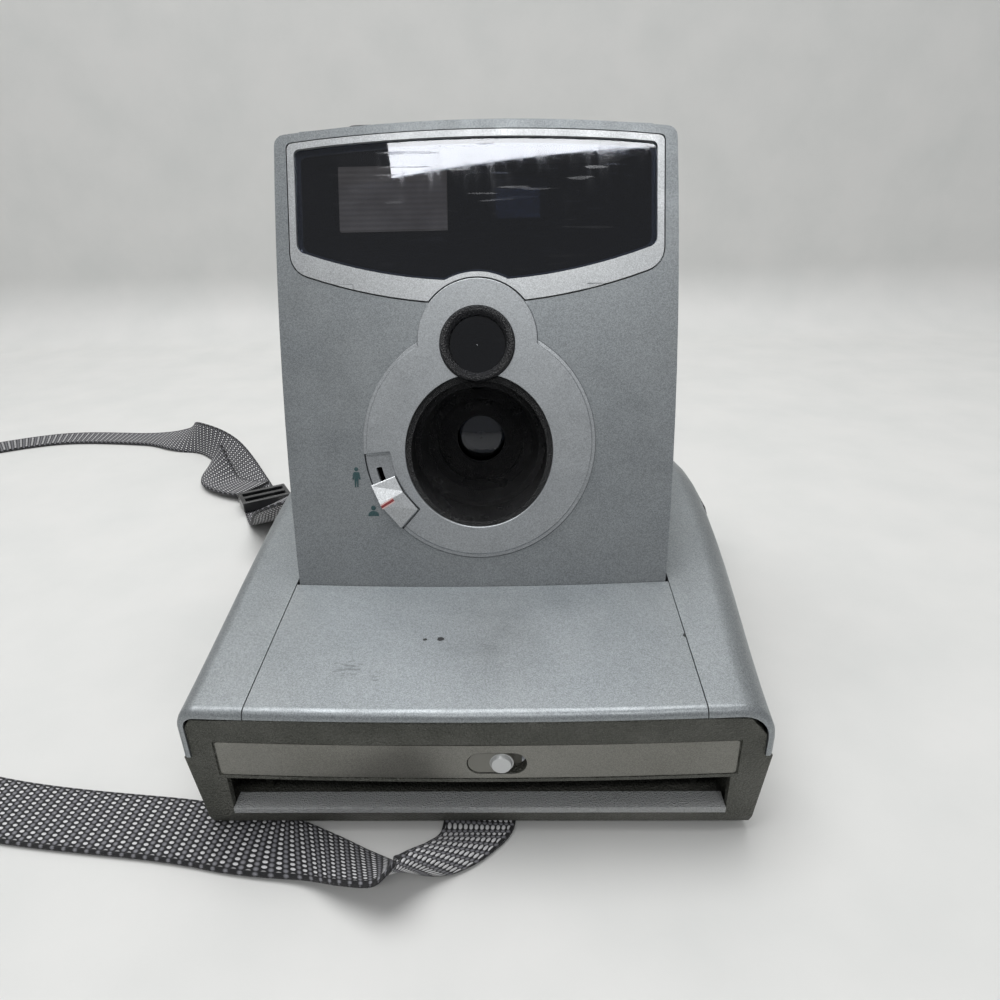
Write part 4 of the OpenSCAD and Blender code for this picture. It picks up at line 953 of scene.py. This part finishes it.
COATED = Optic(Slot.CLEAR, "#8d93a1")
SMOKED = Optic(Slot.CLEAR, "#b2b6c0")
# painted light: the flash window glows in its own colour
FLASH = Ribbed(Slot.CLEAR, "#6f665b", 0.3)
MIRROR = Mirror(Slot.MIRROR, "#d4d8da", 0.02)
STEEL = Metal(Slot.STEEL, "#b6b9bc", 0.28)
SHEET = Metal(Slot.SHEET, "#18191b", 0.5, (1.0, 0.1, 1.0), 0.2, 0.002)
CHROME = Metal(Slot.REFLECTOR, "#d2d5d8", 0.12, (0.3, 1.0, 1.0), 1.0, 0.002)
ACETAL = GearPolymer(Slot.GEAR, "#e3e0d4", 0.45)
BRASS = Metal(Slot.BRASS, "#c3a05c", 0.32, (1.0, 1.0, 0.1))
CIRCUIT = Board(Slot.BOARD, "#35543a", 0.3)
VINYL = Sleeve(Slot.SLEEVE, "#1d2129", 0.3)
WOVEN = Webbing(Slot.WEBBING, "#8f8f95", 0.78)
GLOSS = Sleeve(Slot.ADJUSTER, "#151618", 0.34)
TEAL = Print(Slot.INK, "#24474a", 0.4)
RED = Print(Slot.INK, "#8d2a2c", 0.4)
PINK = Print(Slot.INK, "#e0bfbb", 0.4)


# ---------------------------------------------------------------- studio


@dataclass(frozen=True)
class Lamp:
    """A rectangular soft lamp: its place, its size and the point it is turned to in metres, and its watts."""

    name: str
    place: Triple
    size: Pair
    power: float
    aim: Triple = (0.0, 0.0, 0.0)

    def build(self) -> None:
        """Hangs the lamp."""
        data = bpy.data.lights.new(self.name, "AREA")
        data.shape, data.energy = "RECTANGLE", self.power
        data.size, data.size_y = self.size
        turn = (Vector(self.place) - Vector(self.aim)).to_track_quat("Z", "Y").to_matrix().to_4x4()
        placed(self.name, data).matrix_world = Matrix.Translation(self.place) @ turn


@dataclass
class Studio:
    """Camera close in front and above, pale bench with its sweep, two soft lamps and an even room."""

    eye: Triple = (11.4, -132.3, 159.6)
    focal: float = 26.0
    sensor: float = 36.0
    swing: float = 1.61
    dip: float = 25.28
    roll: float = -1.38
    bench_front: float = -2000.0
    bench_back: float = 560.0
    bench_half: float = 3500.0
    sweep_r: float = 60.0
    wall_top: float = 1300.0
    fill: float = 0.39
    lamps: tuple[Lamp, ...] = (
        Lamp("overhead", (-0.12, 0.18, 1.25), (1.3, 0.9), 14.7),
        Lamp("tube", (0.10, -0.91, 1.04), (0.8, 0.075), 3.2, (0.0, 0.0, 0.12)),
    )

    def camera(self) -> None:
        """Sets up the camera: turned about z by the swing, tipped down by the dip, then rolled."""
        data = bpy.data.cameras.new("view")
        data.lens, data.sensor_width, data.clip_start = self.focal, self.sensor, 0.01
        view = placed("view", data)
        turns = ((self.swing, "Z"), (90 - self.dip, "X"), (self.roll, "Z"))
        swing, tip, roll = (Matrix.Rotation(math.radians(angle), 4, axis) for angle, axis in turns)
        view.matrix_world = Matrix.Translation(row_m(self.eye)) @ (swing @ tip @ roll)
        bpy.context.scene.camera = view

    def floor(self) -> None:
        """A pale bench that runs back and up a wall: a level line, a quarter circle and a plumb line."""
        back, bend = self.bench_back, self.sweep_r
        turn = np.linspace(0.1, math.pi / 2, 12)
        arch = np.stack([back + bend * np.sin(turn), bend - bend * np.cos(turn)], 1)
        along = np.array([(self.bench_front, 0.0), (back, 0.0), *arch, (back + bend, self.wall_top)])
        x = np.linspace(-self.bench_half, self.bench_half, 4)
        points = np.stack([x[None, :] + 0 * along[:, :1], along[:, :1] + 0 * x, along[:, 1:] + 0 * x], -1)
        mesh = Skin().grid(points).mesh("floor")
        paint = bpy.data.materials.new("painted_bench")
        r = Recipe(paint)
        worn = r.add("TexNoise", r.here, per_mm(45), 4)
        colour = r.add("Mix.RGBA", r.add("MapRange", worn, 0.35, 0.75), "#dadad8", "#d3d4d2")
        rough = r.add("MapRange", worn, 0.3, 0.7, 0.5, 0.62)
        relief = r.add("Bump", height=r.add("TexNoise", r.here, per_mm(2.0), 3), distance=0.02 * MM)
        r.add("OutputMaterial", r.add("BsdfPrincipled", base_color=colour, roughness=rough, normal=relief))
        mesh.materials.append(paint)
        mesh.shade_smooth()
        placed("floor", mesh)

    def room(self) -> None:
        """An even grey room that the camera sees as white."""
        world = bpy.data.worlds.new("room")
        r = Recipe(world)
        seen = r.add("LightPath").outputs["Is Camera Ray"]
        dim = r.add("Background", "#e6e7e9", self.fill)
        bright = r.add("Background", "#ffffff", 1.0)
        r.add("OutputWorld", r.add("MixShader", seen, dim, bright))
        bpy.context.scene.world = world

    def build(self) -> None:
        """Sets up all but the camera."""
        self.room()
        self.floor()
        for lamp in self.lamps:
            lamp.build()
        bpy.context.scene.view_settings.view_transform = "Standard"


# ---------------------------------------------------------------- strap


def knotted(rows: list[list[float]]) -> Array:
    """Knots of a band: each place, with the direction across the band.

    Args:
        rows: x, y, z and the roll in degrees, or x, y, z and the three numbers of the direction across.

    Returns:
        Rows of a place and a unit direction across, which a roll of 0 lays level and to the right.
    """
    places = np.array([row[:3] for row in rows], float)
    ahead = np.gradient(places, axis=0)
    side = unit(np.cross(ahead, [0.0, 0.0, 1.0]))
    up = np.cross(side, unit(ahead))
    roll = np.radians([[row[3] if len(row) == 4 else 0.0] for row in rows])
    rolled = side * np.cos(roll) + up * np.sin(roll)
    given = np.array([row[3:] if len(row) == 6 else [0.0, 0.0, 0.0] for row in rows], float)
    stated = np.linalg.norm(given, axis=1)[:, None]
    return np.concatenate([places, np.where(stated > 0, given / np.maximum(stated, 1e-9), rolled)], 1)


def strand(knots: Array, steps: int) -> Array:
    """Points of a route through its knots: on each leg a cubic whose slopes are half the neighbours' gap.

    Args:
        knots: rows of numbers.
        steps: how many points there are.

    Returns:
        Rows like the knots.
    """
    last = len(knots) - 1
    t = np.linspace(0, last, steps)
    k = np.minimum(t.astype(int), last - 1)
    u = (t - k)[:, None]
    a, b, c, d = (knots[np.clip(k + n, 0, last)] for n in (-1, 0, 1, 2))
    return 0.5 * (2 * b + (c - a) * u + (2 * a - 5 * b + 4 * c - d) * u**2 + (3 * b - a - 3 * c + d) * u**3)


@dataclass
class Band:
    """A length of webbing along a route: rows of a place and the direction across."""

    name: str
    route: Array
    edge: float = 0.35
    back_u: float = 0.1
    corners: int = 15

    def ring(self) -> tuple[Array, Array]:
        """Section of the webbing, (across, up) as shares of the half sizes, and its map across in metres.

        Returns:
            The section's corners, and the u of each.
        """
        angle = np.linspace(0, np.pi, self.corners)
        top = np.stack([np.cos(angle), np.ones(self.corners)], 1)
        top[[0, -1]] = [[1.0, self.edge], [-1.0, self.edge]]
        front, back = ((1 + way * top[:, 0]) / 2 * S.strap_w * MM for way in (-1, 1))
        return np.concatenate([top, -top]), np.concatenate([front, self.back_u + back])

    def build(self) -> tuple[Mesh, Array, float]:
        """The band's mesh in the row frame, its centreline in metres and its length in metres.

        Returns:
            The mesh, the centreline and the length.
        """
        centre, across = self.route[:, :3], self.route[:, 3:]
        out, across = unit(np.cross(across, np.gradient(centre, axis=0))), unit(across)
        shape, u = self.ring()
        points = (
            centre[:, None]
            + across[:, None] * shape[None, :, :1] * S.strap_w / 2
            + out[:, None] * shape[None, :, 1:] * S.strap_t / 2
        )
        run = np.concatenate([[0], np.cumsum(np.linalg.norm(np.diff(centre, axis=0), axis=1))]) * MM
        uv = np.stack(np.broadcast_arrays(np.concatenate([u, u[-1:]])[None, :], run[:, None]), -1)
        return Skin().loft(points, uv).mesh(self.name, 0.0005), row_m(centre), float(run[-1])


@dataclass
class Length:
    """A length of the strap: its part of the route, what it replaces, and where it bends between bodies."""

    name: str
    part: slice
    nodes: tuple[str, ...]
    bodies: tuple[str, str]
    bend: tuple[Triple, Triple]


@dataclass
class Strap:
    """The neck strap: two cords that meet in the twist in front of the door, a cut tail and its adjuster."""

    steps: int = 1260
    split: int = 818
    tail_steps: int = 60
    path_step: int = 6
    crease: float = 60.0
    adjuster_edge: float = 0.5

    def knots(self) -> Array:
        """Places and rolls along the strap, from the left lug to the right one."""
        gap = S.bar_r + 0.1
        left, right = -Form.bar_x(S.plain_bulge) - gap, Form.bar_x(S.grip_bulge) + gap
        y, z = S.lug_y, S.lug_z
        return knotted(
            [
                [left, y, z, 0], [left - 5, y, z, 0], [-97, 156, 22, 0], [-105, 170, 9, 0],
                [-112, 184, 1.6, 0], [-124, 208, 1, 0], [-138, 232, 1.4, 8], [-160, 262, 7, 45],
                [-182, 279, 9.5, 75], [-200, 290, 5, 25], [-228, 302, 1.2, 0], [-290, 303, 1, 0],
                [-345, 265, 1, 0], [-365, 200, 1, 0], [-345, 135, 1, 0], [-290, 75, 1, 0], [-215, 32, 1, 0],
                [-140, 10, 1, 0], [-80, 1.6, 1.1, 0], [-62, -1.6, 1.1, 0], [-45.5, -4.6, 1.6, 5, -19.8, 1.5],
                [-34, -9.6, 3.8, 4, -17.8, 6], [-24.5, -13.7, 5.8, 2.9, -15.6, 10],
                [-16.6, -15.9, 8.6, -3.2, -10.8, 15.5], [-12.3, -14.1, 7.5, -10.7, -6, 13],
                [-8.3, -10.4, 5.6, -14.7, -3.7, 9.5], [-3.5, -5, 3.4, -18.2, -3.4, 5],
                [-0.4, 1, 1.2, -18.2, -1.3, 0.2], [0.6, 9, 1.1, 180], [3, 22, 1, 180], [12, 46, 1, 180],
                [24, 74, 1, 180], [32, 106, 1, 180], [38, 128, 1, 180], [48, 139, 1, 180], [62, 142, 1, 180],
                [77, 144, 1.4, 0, 1, 0], [87, 148, 6, 0, 1, 0], [90.5, 151, 15, 0, 1, 0],
                [89.5, 151, 24, 0, 1, 0], [86, y, 29.2, 0, 1, 0], [right, y, z, 0, 1, 0],
            ]
        )  # fmt: skip

    def tail(self) -> Object:
        """The strap's loose end, which leaves the adjuster."""
        knots = [
            [-127.5, 213, 4.9, 0], [-131, 215, 4, 0], [-140, 219, 3.2, 0], [-150, 226, 3, 0],
            [-157, 236, 6, 30], [-160, 246, 11, 60],
        ]  # fmt: skip
        mesh = Band("strap_cut_tail", strand(knotted(knots), self.tail_steps)).build()[0]
        return finish_piece("strap_cut_tail", mesh, "camera", WOVEN, ("strap_tail",), self.crease)

    def cord(self, length: Length, route: Array) -> None:
        """Makes one length and declares how it bends between its two bodies.

        Args:
            length: what it is.
            route: the whole strap's route.
        """
        mesh, centre, run = Band(length.name, route[length.part]).build()
        piece = finish_piece(length.name, mesh, "camera", WOVEN, length.nodes, self.crease)
        piece.parent = None
        del piece["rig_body"]
        start, stop = (tuple(row_m(np.array(point, float))) for point in length.bend)
        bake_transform(piece, *length.bodies, start=start, end=stop)
        LOG.info("%s is %.3f m long", length.name, run)

    def build(self) -> None:
        route = strand(self.knots(), self.steps)
        fixed = (self.tail(), eased("strap_buckle", "strap_adjuster", "camera", GLOSS, self.adjuster_edge))
        left = Length(
            "strap_left", slice(0, self.split + 1), ("neck_strap", "strap_front"), ("camera", "film_door"),
            ((-100, 40, 0), (-60, 0, 0)),
        )  # fmt: skip
        right = Length(
            "strap_right", slice(self.split, None), ("strap_rear",), ("film_door", "camera"),
            ((0, 24, 0), (0, 31, 0)),
        )  # fmt: skip
        self.cord(left, route)
        self.cord(right, route)


# ---------------------------------------------------------------- pieces from the construction


@dataclass(frozen=True)
class Coat:
    """What a CAD node is made of, and how wide its eased edges are in millimetres, 0 for none."""

    finish: Finish
    edge: float = 0.0


@dataclass
class Assembly:
    """A sub-assembly whose fields are its CAD nodes, each with its coat."""

    def build(self) -> dict[str, Object]:
        """Gives each node its material, and an eased copy where its edges show.

        Returns:
            The eased copies by the names of their nodes.
        """
        copies = {}
        for node, coat in vars(self).items():
            piece = frame["nodes"][node]
            body = body_of(piece)[0]
            if coat.edge:
                copies[node] = eased(f"{node}_finished", node, body, coat.finish, coat.edge)
            piece.data.materials.clear()
            piece.data.materials.append(coat.finish.material())
            LOG.info("%s on %s: %s", node, body, coat.finish.slot.value)
        return copies


@dataclass
class Shells(Assembly):
    """Silver shells round the body, with the deck in front of the tower."""

    front_panel: Coat = Coat(SHELL, 0.8)
    left_side_shell: Coat = Coat(SHELL, 0.5)
    right_side_shell: Coat = Coat(SHELL, 0.5)
    rear_shell: Coat = Coat(SHELL, 0.6)
    deck_panel: Coat = Coat(DECK, 0.5)

    def build(self) -> dict[str, Object]:
        """Dresses the shells, and trues the front panel's swelling face."""
        copies = super().build()
        trued(copies["front_panel"], Form.face_normal)
        return copies


@dataclass
class Lens(Assembly):
    """Lens ring and funnel, the barrel with its glasses and blades, and the close-up lens with its lever."""

    lens_ring: Coat = Coat(RING, 0.25)
    closeup_lever: Coat = Coat(TRIM, 0.2)
    lens_funnel: Coat = Coat(INNER, 0.1)
    lens_barrel: Coat = Coat(INNER, 0.1)
    sensor_ring: Coat = Coat(BLACK, 0.15)
    closeup_arm: Coat = Coat(BLACK, 0.2)
    closeup_lens: Coat = Coat(GLASS)
    front_element: Coat = Coat(COATED)
    rear_element: Coat = Coat(COATED)
    sensor_lens: Coat = Coat(COATED)
    shutter_plate: Coat = Coat(SHEET)
    upper_blade: Coat = Coat(SHEET)
    lower_blade: Coat = Coat(SHEET)


@dataclass
class Head(Assembly):
    """Window with the flash and the viewfinder behind it, and the frame counter."""

    window_bezel: Coat = Coat(TRIM, 0.25)
    window_tray: Coat = Coat(BLACK, 0.3)
    window_pane: Coat = Coat(SMOKED)
    flash_lens: Coat = Coat(FLASH, 0.2)
    flash_reflector: Coat = Coat(CHROME)
    flash_tube: Coat = Coat(GLASS)
    flash_board: Coat = Coat(CIRCUIT)
    flash_capacitor: Coat = Coat(VINYL)
    finder_tunnel: Coat = Coat(BLACK)
    finder_objective: Coat = Coat(COATED)
    eyepiece_lens: Coat = Coat(GLASS)
    eyecup: Coat = Coat(RUBBER, 0.5)
    counter_dial: Coat = Coat(ACETAL)


@dataclass
class Door(Assembly):
    """Fold-down film door with its exit guide and latch, and the rollers with their drive."""

    film_door: Coat = Coat(DARK, 0.4)
    exit_guide: Coat = Coat(GUIDE, 0.2)
    latch_slide: Coat = Coat(LATCH, 0.3)
    hinge_pins: Coat = Coat(STEEL)
    upper_roller: Coat = Coat(STEEL)
    lower_roller: Coat = Coat(STEEL)
    drive_motor: Coat = Coat(STEEL)
    motor_pinion: Coat = Coat(ACETAL)
    upper_idler: Coat = Coat(ACETAL)
    lower_idler: Coat = Coat(ACETAL)
    roller_gear: Coat = Coat(ACETAL)


@dataclass
class Base(Assembly):
    """Base tray with the film bay and the folded light path over it."""

    base_tray: Coat = Coat(DARK, 0.4)
    feet: Coat = Coat(RUBBER, 0.4)
    strap_bars: Coat = Coat(STEEL)
    film_bay_frame: Coat = Coat(BLACK)
    film_pick: Coat = Coat(STEEL)
    battery_contacts: Coat = Coat(BRASS)
    light_cone: Coat = Coat(BLACK)
    taking_mirror: Coat = Coat(MIRROR)


@dataclass
class Release(Assembly):
    """Shutter button and the spring under it."""

    shutter_button: Coat = Coat(BLACK, 0.3)
    button_spring: Coat = Coat(STEEL)

    def build(self) -> dict[str, Object]:
        """Dresses both, and makes a finished copy of the spring, on the camera, with a mesh of its own."""
        copies = super().build()
        mesh = frame["nodes"]["button_spring"].data.copy()
        mesh.name = "button_spring_finished"
        spring = finish_piece(mesh.name, mesh, "camera", STEEL, ("button_spring",))
        bpy.context.view_layer.update()
        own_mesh(spring)
        return copies


# ---------------------------------------------------------------- printed marks and the label plate


@dataclass
class Marks:
    """Plain pictograms beside the lever, the lever's index line, and the bare label plate of the door.

    The marks' places are x and the distance up the face. The index line is in the nose frame.
    """

    print_edge: tuple[Pair, ...] = ((0.04, 0.09), (0.0, 0.07), (0.0, -0.06))
    figure: Pair = (-36.7, 29.9)
    figure_head: float = 5.35
    bust: Pair = (-31.8, 21.5)
    bust_head: float = 2.1
    index_ends: tuple[tuple[float, ...], ...] = ((-28.75, 57.51, 68.0), (-25.2, 58.88, 69.8))
    index_out: Triple = (0.147, -0.907, 0.395)
    label_half: Pair = (64.7, 5.3)
    label_z: float = 25.35
    label_r: float = 0.8
    label_out: float = 0.75
    label_edge: tuple[Pair, ...] = ((0.16, 0.0), (0.04, -0.05), (0.0, -0.14), (0.0, -0.29))
    slot_at: Pair = (5.3, 24.8)
    slot_half: float = 4.1
    slot_r: float = 3.35
    print_spacing: float = 0.4
    label_spacing: float = 3.0

    def on_door(self, x: Array, z: Array, out: Array) -> Array:
        """Points on the bowed front of the door's recess."""
        return np.stack([x, self.label_out + Form.bow(x) - out, z], -1)

    def icon(self, name: str, outlines: list[Array]) -> None:
        """Prints closed outlines on the face in one ink.

        Args:
            name: the piece's name.
            outlines: its closed outlines.
        """
        skin = Skin()
        for outline in outlines:
            plate([Loop(outline, np.array(self.print_edge))], Form.on_face, self.print_spacing, skin)
        finish_piece(name, skin.mesh(name), "camera", TEAL)

    def figures(self) -> None:
        """A standing figure by the far end of the lever's path and a head with shoulders by the near end."""
        x, s = self.figure
        limbs = [
            (-0.55, 0.0), (-0.15, 0.0), (0.0, 2.3), (0.15, 0.0), (0.55, 0.0), (0.62, 2.9), (0.75, 2.2),
            (1.25, 2.3), (0.95, 4.2), (0.6, 4.5), (-0.6, 4.5), (-0.95, 4.2), (-1.25, 2.3), (-0.75, 2.2),
            (-0.62, 2.9),
        ]  # fmt: skip
        head = arc(x, s + self.figure_head, 0.6, 0, 345, 23)
        self.icon("standing_figure_mark", [np.array(limbs) + [x, s], head])
        x, s = self.bust
        shoulders = arc(x, s, 1.6, 0, 180, 16) * [1, 0.8] + [0, s * 0.2]
        chest = np.concatenate([shoulders, [[x - 1.6, s - 0.3], [x + 1.6, s - 0.3]]])
        self.icon("bust_mark", [chest, arc(x, s + self.bust_head, 0.72, 0, 345, 23)])

    def ribbon(self, name: str, ink: Finish, lift: float, width: float, thick: float) -> None:
        """A thin printed bar along the index, riding on the lever: a section carried from end to end.

        Args:
            name: the piece's name.
            ink: what it is printed with.
            lift: how far it lies above the lever.
            width, thick: its width and its half height.
        """
        out = np.array(self.index_out)
        start, end = (np.array(point) + out * lift for point in self.index_ends)
        run = np.linalg.norm(end - start)
        along = (end - start) / run
        shape = np.array([(1, -1), (1, 0.6), (0.8, 1), (-0.8, 1), (-1, 0.6), (-1, -1)])
        ring = np.cross(out, along) * shape[:, :1] * width / 2 + out * shape[:, 1:] * thick
        rings = np.stack([start + along * t + ring * k for t, k in ((0, 0.9), (0.08, 1), (run, 1))])
        finish_piece(name, Skin().loft(rings).mesh(name), "closeup_lever", ink)

    def label(self) -> None:
        """A bare satin plate let into the door, with the latch's stadium-shaped opening."""
        (half_x, half_z), mid_z, r = self.label_half, self.label_z, self.label_r
        corner = [
            arc(sx * (half_x - r), mid_z + sz * (half_z - r), r, a, a + 90, 5)
            for sx, sz, a in ((1, -1, -90), (1, 1, 0), (-1, 1, 90), (-1, -1, 180))
        ]
        line = np.linspace(half_x - r, -half_x + r, 40)[1:-1]
        top = np.stack([line, np.full(len(line), mid_z + half_z)], 1)
        below = top[::-1] * [1, 0] + [0, mid_z - half_z]
        outline = np.concatenate([corner[0], corner[1], top, corner[2], corner[3], below])
        x, z = self.slot_at
        ends = ((x + self.slot_half, -90), (x - self.slot_half, 90))
        slot = np.concatenate([arc(at, z, self.slot_r, a, a + 180, 16) for at, a in ends])
        section = np.array(self.label_edge)
        loops = [Loop(outline, section), Loop(slot, section, hole=True)]
        skin = plate(loops, self.on_door, self.label_spacing)
        weighed(finish_piece("door_label_plate", skin.mesh("door_label_plate"), "film_door", LABEL))

    def build(self) -> None:
        """Makes every mark."""
        self.figures()
        self.ribbon("lever_index_border", PINK, 0.0, 1.5, 0.05)
        self.ribbon("lever_index_line", RED, 0.03, 0.75, 0.06)
        self.label()


def main() -> None:
    """Builds the scene."""
    logging.basicConfig(level=logging.INFO, format="%(message)s")
    studio = Studio()
    studio.camera()
    for part in (Strap(), Shells(), Lens(), Head(), Door(), Base(), Release(), Marks(), studio):
        LOG.info("building %s", type(part).__name__)
        part.build()


if __name__ == "__main__":
    main()
